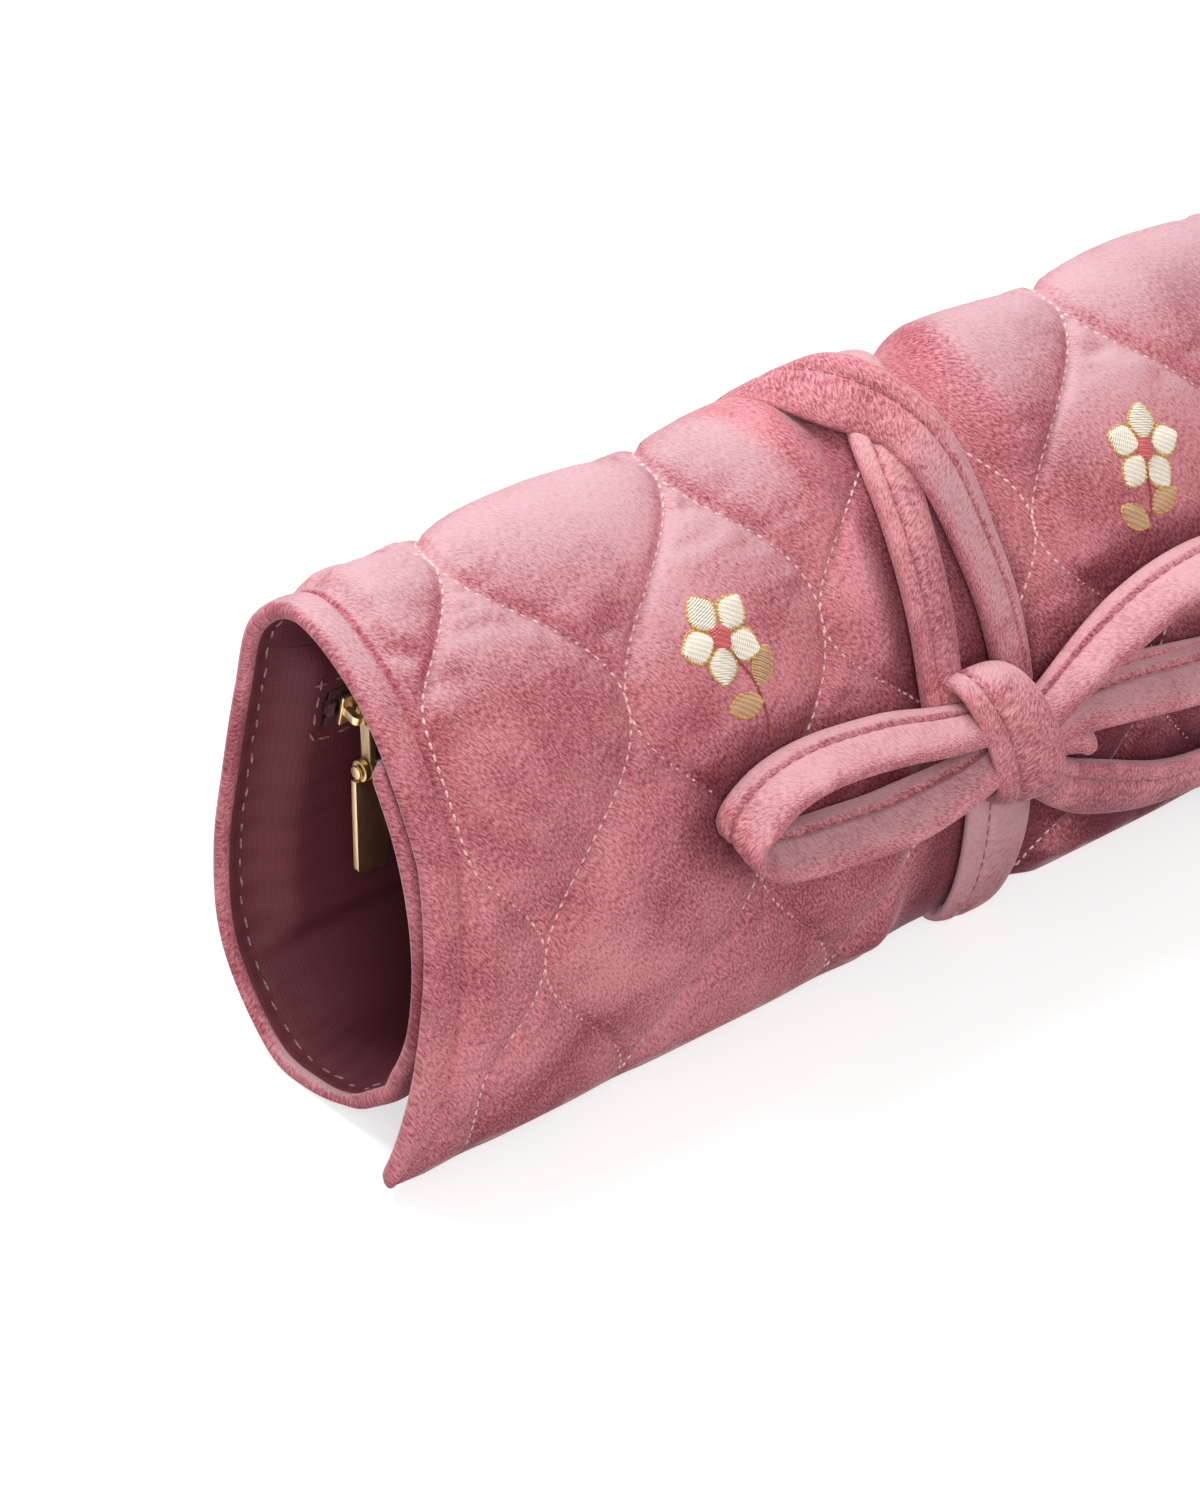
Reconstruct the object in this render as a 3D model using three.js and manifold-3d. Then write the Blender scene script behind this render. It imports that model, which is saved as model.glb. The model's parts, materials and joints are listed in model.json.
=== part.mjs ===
// A quilted velvet jewelry roll, rolled up and tied with a bow.
// Millimetres, +Z up. X runs along the roll, the flap is at the front (-Y), and the base stands on Z = 0.
// The origin is on the table under the middle of the whole object.
import * as THREE from 'three';
import { mergeVertices } from 'three/addons/utils/BufferGeometryUtils.js';
import Module from 'manifold-3d';

const wasm = await Module();
wasm.setup();

// Rolled size
const ROLL_LENGTH = 240;
const ROLL_DEPTH = 62.3;
const ROLL_HEIGHT = 95.5;

// Shape of the rolled section, as shares of depth and height: base, front, top, back
const SECTION_SHAPE = [
  [0, -0.006], [-0.209, -0.003], [-0.417, 0.073], [-0.552, 0.23], [-0.594, 0.403],
  [-0.557, 0.581], [-0.449, 0.759], [-0.265, 0.921], [0, 1], [0.209, 0.921],
  [0.295, 0.759], [0.361, 0.581], [0.406, 0.387], [0.379, 0.183], [0.205, 0.023],
];
const SECTION_TOP_POINT = 8;

// The sheet's layers, from the velvet inwards
const COVER_THICKNESS = 1.2;
const WADDING_THICKNESS = 1.8;
const LINING_THICKNESS = 0.6;
const FIT_GAP = 0.3;
const TURN_GAP = 3;

// Where the sheet starts and ends, as arc lengths along the section
const FLAP_TIP_FROM_BASE = 25;
const FLAP_STANDOFF = 7.3;
const FLAP_STANDOFF_RUN = 40;
const FLAP_SKEW = 8.5;
const FLAP_SKEW_RUN = 62;
const TUCK_FROM_BASE = 8;
const TUCK_RUN = 28;
const TUCK_LENGTH = 106;
const TUCK_CLOSING = 1.9;
const TUCK_CLOSING_FROM = 50;
const TUCK_CLOSING_RUN = 45;
const HINGE_BEFORE_TOP = 14;

// Quilting
const QUILT_CELL_WIDTH = 46;
const QUILT_CELL_HEIGHT = 71;
const QUILT_PHASE_BEFORE_TOP = 37.25;
const QUILT_FIRST_LINE = -82.5;
const QUILT_LEAN = 8.5;
const PUFF_HEIGHT = 2.8;
const PUFF_CROWN_POWER = 0.6;
const PUFF_FLAT_MARGIN = 6;
const PUFF_FADE = 8;
const PUFF_UNDER_TIE = 0.15;
const PUFF_INSIDE = 0.2;

// Turned edges
const BINDING_WIDTH = 2.7;
const BINDING_LIP = 3.6;
const BINDING_ROUND = 1;

// Zip and its pocket, on the lining of the back
const ZIP_AFTER_TOP = 37.5;
const ZIP_LENGTH = 210.8;
const ZIP_TAPE_WIDTH = 2.3;
const ZIP_TAPE_THICKNESS = 0.6;
const ZIP_CHAIN_HALF = 1.6;
const ZIP_TOOTH_DEPTH = 0.45;
const ZIP_CHANNEL_HALF = 0.5;
const ZIP_TOOTH_PITCH = 4;
const ZIP_TOOTH_WIDTH = 2;
const ZIP_CHAIN_THICKNESS = 1.4;
const ZIP_STOP_LENGTH = 1.2;
const POCKET_DEPTH = 3.8;
const POCKET_ABOVE_ZIP = 9;
const POCKET_BELOW_ZIP = 48;
const POCKET_RAMP = 7;
const POCKET_MARGIN = 2;
const POCKET_BACKING_THICKNESS = 0.4;

// Slider and its pull
const SLIDER_LENGTH = 6.4;
const SLIDER_WIDTH = 6;
const SLIDER_PLATE = 0.8;
const SLIDER_CLEARANCE = 0.4;
const SLIDER_POST_LENGTH = 2.4;
const SLIDER_POST_THICKNESS = 0.4;
const SLIDER_END_GAP = 0.5;
const CROWN_LENGTH = 5.6;
const CROWN_WIDTH = 1.6;
const CROWN_BAR = 1.2;
const CROWN_HOLE_HEIGHT = 2.2;
const LINK_LENGTH = 10;
const LINK_THICKNESS = 1.4;
const LINK_RING_WALL = 0.9;
const LINK_NECK_HALF = 1.2;
const PIN_RADIUS = 0.65;
const PIN_EYE_WALL = 0.95;
const PIN_HEAD_RADIUS = 1.25;
const PIN_HEAD_LENGTH = 0.6;
const TAB_LENGTH = 20;
const TAB_WIDTH = 6.5;
const TAB_THICKNESS = 1.3;
const TAB_CORNER = 1.2;
const TAB_EAR_WIDTH = 1;

// Ring bar, on the lining of the inner front layer
const RING_BAR_AFTER_BASE = 50;
const RING_BAR_LENGTH = 150;
const RING_BAR_RADIUS = 7;
const RING_BAR_CENTRE_X = 5;
const SNAP_RADIUS = 4.5;
const SNAP_STUD_HEIGHT = 1.4;
const SNAP_SOCKET_HEIGHT = 0.9;
const SNAP_SEAT_GAP = 0.6;
const SNAP_FROM_BAR_END = 12;
const ANCHOR_LENGTH = 14;
const ANCHOR_WIDTH = 10;

// Tie strap
const TIE_WIDTH = 11.5;
const TIE_THICKNESS = 2.4;
const TIE_GAP = 0.35;
const WAIST_CENTRE_X = -2;
const WAIST_HALF_WIDTH = 14.5;
const WAIST_RUN = 12;
const WAIST_DEPTH = 1.2;
const WAIST_DEPTH_AT_BASE = 4.4;
const WAIST_BASE_REACH = 14;
const WAIST_BASE_RUN = 21;
// Routes over the roll as [arc length from the flap's tip, X]
const BAND_ROUTE = [
  [0, -1.2], [25, 0], [38, -4], [54, -13], [67, -12.1], [80, -11], [92, -9.3], [100, -6.5], [108, -2.5],
  [116, 0.5], [126, 2.2], [140, 2.5], [180, 0], [231, -1.5],
];
const BAND_END_ROUTE = [
  [49, 4], [63, 2.5], [75, 0.8], [88, -1.4], [98, -5], [105, -9.5], [111, -13.6], [119, -15.8], [134, -17],
  [155, -18],
];
const BAND_TOP_START = 45;
const BAND_FRONT_END = 43.5;
const BAND_END_START = 50;
const BAND_END_FINISH = 155;
const CROSSING_START = 63;
const CROSSING_END = 112;
const CROSSING_RUN = 12;
// The bow, on the flap: [X, arc length from the flap's tip]
const KNOT_LEFT = -12;
const KNOT_RIGHT = 8;
const KNOT_LOW = 29;
const KNOT_HIGH = 56;
const KNOT_RISE = 13.5;
const LOOP_LEFT_ROUTE = [
  [-13.4, 49], [-27, 56], [-44.5, 58.5], [-58, 55.5], [-65.5, 50],
  [-63, 44.5], [-53, 40], [-38, 38], [-22, 38.2], [-13.4, 40],
];
const LOOP_RIGHT_ROUTE = [
  [9.4, 49.5], [17, 55.5], [29.5, 59], [44, 59.5], [58, 57], [66, 52],
  [64, 46], [54, 42], [38, 41], [22, 41.6], [9.4, 42],
];
const LOOP_RIGHT_LIFT = 2.8;
const TAIL_LOWER_ROUTE = [[8.8, 31], [26, 24.5], [48, 19], [68, 15.5], [86, 14]];
const TAIL_UPPER_ROUTE = [[9.2, 44.2], [26, 42], [48, 37.5], [66, 34], [80, 32.5]];

// Facets
const SECTION_STEP = 6.5;
const ROLL_PUFF_STEP = 10;
const FLAP_PUFF_STEP = 4.5;
const SECTION_DIVISIONS = 600;
const ROUND_SIDES = 12;
const BAR_END_STEPS = 4;
const LOOP_STEPS = 28;
const TAIL_STEPS = 10;

const clamp01 = (t) => Math.min(1, Math.max(0, t));
const smooth = (t) => clamp01(t) ** 2 * (3 - 2 * clamp01(t));

// Worked-out sizes
const HALF_LENGTH = ROLL_LENGTH / 2;
const WADDING_TOP = -(COVER_THICKNESS + FIT_GAP);
const WADDING_BOTTOM = WADDING_TOP - WADDING_THICKNESS;
const LINING_TOP = WADDING_BOTTOM - FIT_GAP;
const LINING_BOTTOM = LINING_TOP - LINING_THICKNESS;
const TURN_INSET = TURN_GAP - LINING_BOTTOM;
const LAYER_HALF = HALF_LENGTH - BINDING_WIDTH - FIT_GAP;
const LINING_HALF = HALF_LENGTH - BINDING_LIP - FIT_GAP;

// The closed outline that the sheet is wound on
const section = new THREE.CatmullRomCurve3(
  SECTION_SHAPE.map(([depth, height]) => new THREE.Vector3(0, depth * ROLL_DEPTH, height * ROLL_HEIGHT)),
  true, 'catmullrom', 0.5,
);
section.arcLengthDivisions = SECTION_DIVISIONS;
const LOOP_LENGTH = section.getLength();
const TOP = section.getLengths()[Math.round(SECTION_DIVISIONS * SECTION_TOP_POINT / SECTION_SHAPE.length)];
const TIP = FLAP_TIP_FROM_BASE;
const HINGE = TOP - HINGE_BEFORE_TOP;
const SHEET_END = LOOP_LENGTH + TUCK_LENGTH;
const ZIP = TOP + ZIP_AFTER_TOP;
const RING_BAR = LOOP_LENGTH + RING_BAR_AFTER_BASE;

// Point and directions of the outline at arc length b: along it, and outwards
function outline(b) {
  const u = THREE.MathUtils.euclideanModulo(b, LOOP_LENGTH) / LOOP_LENGTH;
  const p = section.getPointAt(u);
  const t = section.getTangentAt(u);
  return { y: p.y, z: p.z, along: new THREE.Vector3(0, t.y, t.z), out: new THREE.Vector3(0, -t.z, t.y) };
}

// How far the sheet lies inside the outline: less than nothing at the flap's tip, one turn at the tuck
function inset(b) {
  const standoff = FLAP_STANDOFF * (1 - clamp01((b - TIP) / FLAP_STANDOFF_RUN)) ** 2;
  const closing = TUCK_CLOSING * smooth((b - LOOP_LENGTH - TUCK_CLOSING_FROM) / TUCK_CLOSING_RUN);
  return TURN_INSET * smooth((b - LOOP_LENGTH - TUCK_FROM_BASE) / TUCK_RUN) - closing - standoff;
}

// How far the flap's lower part is wound askew
function skew(b) {
  return FLAP_SKEW * clamp01(1 - (b - TIP) / FLAP_SKEW_RUN);
}

// A point over the sheet: x along the roll, b along the section, rise outwards from the velvet's base surface
function onSheet(x, b, rise) {
  const o = outline(b);
  return new THREE.Vector3(x, o.y, o.z).addScaledVector(o.out, rise - inset(b));
}

// The tie draws the sheet in to a waist, deepest where the roll stands on it
function waist(x, b) {
  const fromBase = Math.min(Math.abs(b - TIP), Math.max(0, Math.abs(b - LOOP_LENGTH) - WAIST_BASE_RUN));
  const atBase = 1 - smooth((fromBase - WAIST_BASE_REACH) / WAIST_BASE_RUN);
  const depth = WAIST_DEPTH + (WAIST_DEPTH_AT_BASE - WAIST_DEPTH) * atBase;
  return depth * waistShare(x);
}

function waistShare(x) {
  return 1 - smooth((Math.abs(x - WAIST_CENTRE_X) - WAIST_HALF_WIDTH) / WAIST_RUN);
}

// Quilting lines run round the roll in waves, and neighbours touch, so that the cells are ogee shaped. On the
// flap they lean to the left.
function quiltLine(k, b) {
  const wave = Math.cos(2 * Math.PI * (b - TOP + QUILT_PHASE_BEFORE_TOP) / QUILT_CELL_HEIGHT);
  const lean = skew(b) - QUILT_LEAN * clamp01((TOP - b) / (TOP - TIP));
  const side = k % 2 === 0 ? 1 : -1;
  return QUILT_FIRST_LINE + lean + k * QUILT_CELL_WIDTH / 2 + side * QUILT_CELL_WIDTH / 4 * wave;
}

function puff(sheetX, b) {
  let k = Math.floor((sheetX - QUILT_FIRST_LINE) / (QUILT_CELL_WIDTH / 2)) - 2;
  while (quiltLine(k + 1, b) <= sheetX) {
    k += 1;
  }
  const left = quiltLine(k, b);
  const width = quiltLine(k + 1, b) - left;
  const t = (sheetX - left) / width;
  const crown = PUFF_HEIGHT * (4 * t * (1 - t)) ** PUFF_CROWN_POWER * width / QUILT_CELL_WIDTH;
  const fromEdge = Math.min(HALF_LENGTH - Math.abs(sheetX), b - TIP, SHEET_END - b);
  const free = smooth((fromEdge - PUFF_FLAT_MARGIN) / PUFF_FADE);
  const fromBase = Math.abs(b - LOOP_LENGTH) - TUCK_RUN;
  const inside = b > LOOP_LENGTH ? PUFF_INSIDE : 1;
  const tied = 1 - (1 - PUFF_UNDER_TIE) * waistShare(sheetX - skew(b));
  return crown * free * smooth(fromBase / PUFF_FADE) * inside * tied;
}

// Stations along the section, shared by every piece that follows it, so that facets stay parallel
function stations(from, to) {
  const margin = SECTION_STEP / 4;
  const list = [from];
  for (let b = Math.ceil(from / SECTION_STEP) * SECTION_STEP; b < to - margin; b += SECTION_STEP) {
    if (b > from + margin) list.push(b);
  }
  return [...list, to];
}

// X stations of the sheet from one end to the other, with the waist's own edges, which lean with the flap
function across(low, high, step, shift = 0) {
  const waistXs = [-1, 1].flatMap((side) => [0.5, 0].map((t) => side * (WAIST_HALF_WIDTH + t * WAIST_RUN)));
  const middle = waistXs.sort((a, c) => a - c).map((x) => WAIST_CENTRE_X + shift + x);
  const left = WAIST_CENTRE_X + shift - WAIST_HALF_WIDTH - WAIST_RUN;
  const right = WAIST_CENTRE_X + shift + WAIST_HALF_WIDTH + WAIST_RUN;
  const count = Math.max(1, Math.round((high - low) / 2 / step));
  return [...spaced(low, left, count), ...middle, ...spaced(right, high, count)];
}

function spaced(low, high, count) {
  return Array.from({ length: count + 1 }, (_, i) => low + (high - low) * i / count);
}

// A closed solid through a list of rings with as many points each, capped at both ends. Both faces of a layer
// get the same diagonals, so that neighbouring layers stay parallel.
function ringSolid(rings) {
  const size = rings[0].length;
  const index = [];
  for (let r = 0; r + 1 < rings.length; r += 1) {
    for (let i = 0; i < size; i += 1) {
      const a = r * size + i;
      const c = r * size + (i + 1) % size;
      const backwards = rings[r][(i + 1) % size].x < rings[r][i].x;
      if (backwards) index.push(a, c, c + size, a, c + size, a + size);
      else index.push(a, c, a + size, c, c + size, a + size);
    }
  }
  const last = (rings.length - 1) * size;
  for (const [i, j, k] of capFaces(rings[0])) index.push(k, j, i);
  for (const [i, j, k] of capFaces(rings.at(-1))) index.push(last + i, last + j, last + k);
  return outwardGeometry(rings.flat(), index);
}

// Triangles of a flat ring, turning the same way as the ring
function capFaces(ring) {
  const normal = new THREE.Vector3();
  ring.forEach((p, i) => normal.add(new THREE.Vector3().crossVectors(p, ring[(i + 1) % ring.length])));
  const u = new THREE.Vector3().subVectors(ring[1], ring[0]).normalize();
  const v = new THREE.Vector3().crossVectors(normal, u).normalize();
  const flat = ring.map((p) => new THREE.Vector2(p.dot(u), p.dot(v)));
  return THREE.ShapeUtils.triangulateShape(flat, []).map(([i, j, k]) => {
    const turn = flat[j].clone().sub(flat[i]).cross(flat[k].clone().sub(flat[i]));
    return turn > 0 ? [i, j, k] : [i, k, j];
  });
}

function outwardGeometry(points, index) {
  let volume = 0;
  const cross = new THREE.Vector3();
  for (let i = 0; i < index.length; i += 3) {
    cross.crossVectors(points[index[i + 1]], points[index[i + 2]]);
    volume += points[index[i]].dot(cross);
  }
  const turned = volume < 0 ? index.toReversed() : index;
  const geometry = new THREE.BufferGeometry();
  geometry.setAttribute('position', new THREE.Float32BufferAttribute(points.flatMap((p) => p.toArray()), 3));
  geometry.setIndex(turned);
  return geometry;
}

// Booleans
function solid(geometry, matrix = new THREE.Matrix4()) {
  const bare = geometry.clone().applyMatrix4(matrix);
  bare.deleteAttribute('normal');
  bare.deleteAttribute('uv');
  const merged = mergeVertices(bare);
  return new wasm.Manifold(new wasm.Mesh({
    numProp: 3,
    vertProperties: new Float32Array(merged.attributes.position.array),
    triVerts: new Uint32Array(merged.index.array),
  }));
}

function geometryOf(manifold) {
  const mesh = manifold.getMesh();
  const geometry = new THREE.BufferGeometry();
  geometry.setAttribute('position', new THREE.BufferAttribute(new Float32Array(mesh.vertProperties), 3));
  geometry.setIndex(new THREE.BufferAttribute(new Uint32Array(mesh.triVerts), 1));
  return geometry;
}

function boxAt(low, high) {
  const size = new THREE.Vector3().subVectors(high, low);
  const middle = new THREE.Vector3().addVectors(low, high).multiplyScalar(0.5);
  return new THREE.BoxGeometry(size.x, size.y, size.z).translate(middle.x, middle.y, middle.z);
}

const vec = (x, y, z) => new THREE.Vector3(x, y, z);

// Materials
function finish(color, roughness, metalness = 0) {
  return new THREE.MeshStandardMaterial({ color, roughness, metalness });
}

const VELVET = finish(0xbd7681, 0.9);
const WADDING = finish(0xf2ece6, 0.95);
const LINING = finish(0x7d4a54, 0.6);
const TAPE = finish(0x4a2226, 0.85);
const GOLD = finish(0xe2c089, 0.25, 1);
const STEEL = finish(0xc9c9c6, 0.3, 1);

const model = new THREE.Group();

function addPiece(name, geometry, material, parent = model) {
  const mesh = new THREE.Mesh(geometry, material);
  mesh.name = name;
  parent.add(mesh);
  return mesh;
}

// A layer of the sheet from one arc length to another, with its outer and inner faces given as rises
function layer(from, to, half, outerStep, outer, inner, edges = []) {
  const rings = stations(from, to).map((b) => {
    const shift = skew(b);
    const point = (x, rise) => onSheet(x - shift, b, rise(x, b) - waist(x - shift, b));
    const plain = [...across(-half, half, ROLL_LENGTH, shift), ...edges].sort((a, c) => a - c);
    const outerXs = outerStep ? across(-half, half, outerStep, shift) : plain;
    return [...outerXs.map((x) => point(x, outer)), ...plain.toReversed().map((x) => point(x, inner))];
  });
  return ringSolid(rings);
}

const FLOOR_HALF = ROLL_LENGTH;
const FLOOR_CUT = solid(boxAt(vec(-FLOOR_HALF, -FLOOR_HALF, -FLOOR_HALF), vec(FLOOR_HALF, FLOOR_HALF, 0)));
const flatBased = (geometry) => geometryOf(solid(geometry).subtract(FLOOR_CUT));
const flat = (rise) => () => rise;

// Quilted velvet, wadding and lining: the roll and, past the hinge line, its flap
const HINGE_GAP = FIT_GAP / 2;
const FLAP_START = TIP + BINDING_WIDTH + FIT_GAP;
const ROLL_FINISH = SHEET_END - BINDING_WIDTH - FIT_GAP;
const LINING_START = TIP + BINDING_LIP + FIT_GAP;
const LINING_FINISH = SHEET_END - BINDING_LIP - FIT_GAP;
const COVER_INNER = flat(-COVER_THICKNESS);

function addCovers() {
  const roll = layer(HINGE + HINGE_GAP, ROLL_FINISH, LAYER_HALF, ROLL_PUFF_STEP, puff, COVER_INNER);
  addPiece('roll_cover', flatBased(roll), VELVET);
  const flap = layer(FLAP_START, HINGE - HINGE_GAP, LAYER_HALF, FLAP_PUFF_STEP, puff, COVER_INNER);
  addPiece('flap_cover', flap, VELVET);
}

function addWadding() {
  const parts = [
    ['roll_wadding', HINGE + HINGE_GAP, ROLL_FINISH],
    ['flap_wadding', FLAP_START, HINGE - HINGE_GAP],
  ];
  for (const [name, from, to] of parts) {
    const body = layer(from, to, LAYER_HALF, 0, flat(WADDING_TOP), flat(WADDING_BOTTOM));
    addPiece(name, body, WADDING);
  }
}

// The lining stands off over the zip pocket
const POCKET_HALF = ZIP_LENGTH / 2 + POCKET_MARGIN;
const POCKET_TOP = ZIP - POCKET_ABOVE_ZIP;
const POCKET_FOOT = ZIP + POCKET_BELOW_ZIP;

function pocketBulge(x, b) {
  const inX = 1 - smooth((Math.abs(x) - POCKET_HALF) / POCKET_RAMP);
  const inB = smooth((b - POCKET_TOP) / SECTION_STEP + 1) * smooth((POCKET_FOOT - b) / SECTION_STEP + 1);
  return POCKET_DEPTH * inX * inB;
}

const zipAxis = outline(ZIP);
const ZIP_RISE = (LINING_TOP + LINING_BOTTOM) / 2 - POCKET_DEPTH;
const zipGroup = new THREE.Group();
zipGroup.position.copy(onSheet(0, ZIP, ZIP_RISE));
zipGroup.rotation.x = Math.atan2(-zipAxis.along.z, -zipAxis.along.y);
zipGroup.updateMatrix();
model.add(zipGroup);
const ZIP_EDGE = ZIP_CHAIN_HALF + FIT_GAP + ZIP_TAPE_WIDTH;

function addLinings() {
  const pocketEdges = [-1, 1].flatMap((side) => [side * POCKET_HALF, side * (POCKET_HALF + POCKET_RAMP)]);
  const edges = pocketEdges.filter((x) => Math.abs(x) < LINING_HALF);
  const top = (x, b) => LINING_TOP - pocketBulge(x, b);
  const bottom = (x, b) => LINING_BOTTOM - pocketBulge(x, b);
  const body = layer(HINGE + HINGE_GAP, LINING_FINISH, LINING_HALF, 0, top, bottom, edges);
  const windowHalf = ZIP_LENGTH / 2 + FIT_GAP;
  const windowHigh = ZIP_EDGE + FIT_GAP;
  const corner = vec(windowHalf, windowHigh, POCKET_DEPTH);
  const window = solid(boxAt(corner.clone().negate(), corner), zipGroup.matrix);
  addPiece('roll_lining', geometryOf(solid(body).subtract(window)), LINING);
  const flap = layer(LINING_START, HINGE - HINGE_GAP, LINING_HALF, 0, flat(LINING_TOP), flat(LINING_BOTTOM));
  addPiece('flap_lining', flap, LINING);
}

// Velvet turned over the sheet's edges: a rounded strip with a lip on the lining's side
function bindingOutline(edge, inwards) {
  const at = (depth) => edge + inwards * depth;
  return [
    [at(BINDING_WIDTH), 0], [at(BINDING_ROUND), 0],
    [at(0), -BINDING_ROUND], [at(0), LINING_BOTTOM + BINDING_ROUND],
    [at(BINDING_ROUND), LINING_BOTTOM], [at(BINDING_LIP), LINING_BOTTOM],
    [at(BINDING_LIP), LINING_TOP], [at(BINDING_WIDTH), LINING_TOP],
  ];
}

function sideBinding(side, from, to) {
  const profile = bindingOutline(side * HALF_LENGTH, -side);
  return ringSolid(stations(from, to).map((b) => profile.map(([x, rise]) => onSheet(x - skew(b), b, rise))));
}

function endBinding(edge, inwards) {
  const profile = bindingOutline(edge, inwards);
  const count = across(-LINING_HALF, LINING_HALF, ROLL_LENGTH).length;
  return ringSolid(Array.from({ length: count }, (_, i) => profile.map(([b, rise]) => {
    const x = across(-LINING_HALF, LINING_HALF, ROLL_LENGTH, skew(b))[i] - skew(b);
    return onSheet(x, b, rise - waist(x, b));
  })));
}

function addBindings() {
  for (const [name, side] of [['left', -1], ['right', 1]]) {
    addPiece(`roll_binding_${name}`, flatBased(sideBinding(side, HINGE + HINGE_GAP, SHEET_END)), VELVET);
    addPiece(`flap_binding_${name}`, flatBased(sideBinding(side, TIP, HINGE - HINGE_GAP)), VELVET);
  }
  addPiece('flap_end_binding', flatBased(endBinding(TIP, 1)), VELVET);
  addPiece('inner_end_binding', endBinding(SHEET_END, -1), VELVET);
}

// Zip: tapes in the lining's window, the chain on their inner edges, stops at both ends, pocket behind
function toothRow(side) {
  const half = ZIP_LENGTH / 2 - ZIP_STOP_LENGTH - FIT_GAP - ZIP_STOP_LENGTH;
  const count = Math.floor(2 * half / ZIP_TOOTH_PITCH);
  const start = -count * ZIP_TOOTH_PITCH / 2;
  const root = ZIP_CHANNEL_HALF + ZIP_TOOTH_DEPTH;
  const row = new THREE.Shape();
  row.moveTo(start, ZIP_CHAIN_HALF);
  row.lineTo(start, root);
  for (let i = 0; i < count; i += 1) {
    const x = start + i * ZIP_TOOTH_PITCH + (side > 0 ? 0 : ZIP_TOOTH_PITCH - ZIP_TOOTH_WIDTH);
    if (i > 0 || side < 0) row.lineTo(x, root);
    row.lineTo(x, ZIP_CHANNEL_HALF);
    row.lineTo(x + ZIP_TOOTH_WIDTH, ZIP_CHANNEL_HALF);
    if (i < count - 1 || side > 0) row.lineTo(x + ZIP_TOOTH_WIDTH, root);
  }
  if (side > 0) row.lineTo(-start, root);
  row.lineTo(-start, ZIP_CHAIN_HALF);
  const strip = new THREE.ExtrudeGeometry(row, { depth: ZIP_CHAIN_THICKNESS, bevelEnabled: false });
  strip.translate(0, 0, -ZIP_CHAIN_THICKNESS / 2);
  return side > 0 ? strip : strip.rotateX(Math.PI);
}

function addZip() {
  const half = ZIP_LENGTH / 2;
  const thick = ZIP_TAPE_THICKNESS / 2;
  for (const [name, side] of [['upper', 1], ['lower', -1]]) {
    const ys = [side * (ZIP_CHAIN_HALF + FIT_GAP), side * ZIP_EDGE].sort((a, c) => a - c);
    addPiece(`zip_tape_${name}`, boxAt(vec(-half, ys[0], -thick), vec(half, ys[1], thick)), TAPE, zipGroup);
    addPiece(`zip_teeth_${name}`, toothRow(side), GOLD, zipGroup);
  }
  for (const [name, side] of [['left', -1], ['right', 1]]) {
    const xs = [side * (half - ZIP_STOP_LENGTH), side * half].sort((a, c) => a - c);
    const high = ZIP_CHAIN_HALF;
    const rise = ZIP_CHAIN_THICKNESS / 2;
    addPiece(`zip_stop_${name}`, boxAt(vec(xs[0], -high, -rise), vec(xs[1], high, rise)), GOLD, zipGroup);
  }
  const backingHalf = POCKET_HALF - POCKET_MARGIN;
  const xs = across(-backingHalf, backingHalf, ROLL_LENGTH);
  const face = (b, rise) => xs.map((x) => onSheet(x, b, rise - waist(x, b)));
  const backing = stations(POCKET_TOP + POCKET_MARGIN, POCKET_FOOT - POCKET_MARGIN).map((b) => [
    ...face(b, LINING_TOP), ...face(b, LINING_TOP - POCKET_BACKING_THICKNESS).reverse(),
  ]);
  addPiece('zip_pocket_backing', ringSolid(backing), LINING);
}

// Slider: two plates round the chain, a post in its channel, and the crown that the pull hangs on
const SLIDER_REST_X = -(ZIP_LENGTH / 2 - ZIP_STOP_LENGTH - SLIDER_END_GAP - SLIDER_LENGTH / 2);
const PLATE_LOW = ZIP_CHAIN_THICKNESS / 2 + SLIDER_CLEARANCE;
const PLATE_HIGH = PLATE_LOW + SLIDER_PLATE;
const CROWN_BAR_RISE = PLATE_HIGH + CROWN_HOLE_HEIGHT + CROWN_BAR / 2;

function crownArch() {
  const arch = new THREE.Shape();
  const high = CROWN_HOLE_HEIGHT + CROWN_BAR;
  const half = CROWN_LENGTH / 2;
  const sink = SLIDER_PLATE / 2;
  arch.moveTo(-half, -sink);
  arch.lineTo(half, -sink);
  arch.lineTo(half, high - CROWN_BAR);
  arch.absarc(half - CROWN_BAR, high - CROWN_BAR, CROWN_BAR, 0, Math.PI / 2);
  arch.absarc(-half + CROWN_BAR, high - CROWN_BAR, CROWN_BAR, Math.PI / 2, Math.PI);
  const hole = new THREE.Path();
  hole.moveTo(-half + CROWN_BAR, 0);
  hole.lineTo(-half + CROWN_BAR, CROWN_HOLE_HEIGHT);
  hole.lineTo(half - CROWN_BAR, CROWN_HOLE_HEIGHT);
  hole.lineTo(half - CROWN_BAR, 0);
  arch.holes.push(hole);
  const body = new THREE.ExtrudeGeometry(arch, { depth: CROWN_WIDTH, bevelEnabled: false, curveSegments: 4 });
  return body.translate(0, 0, -CROWN_WIDTH / 2).rotateX(Math.PI / 2).translate(0, 0, PLATE_HIGH);
}

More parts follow.
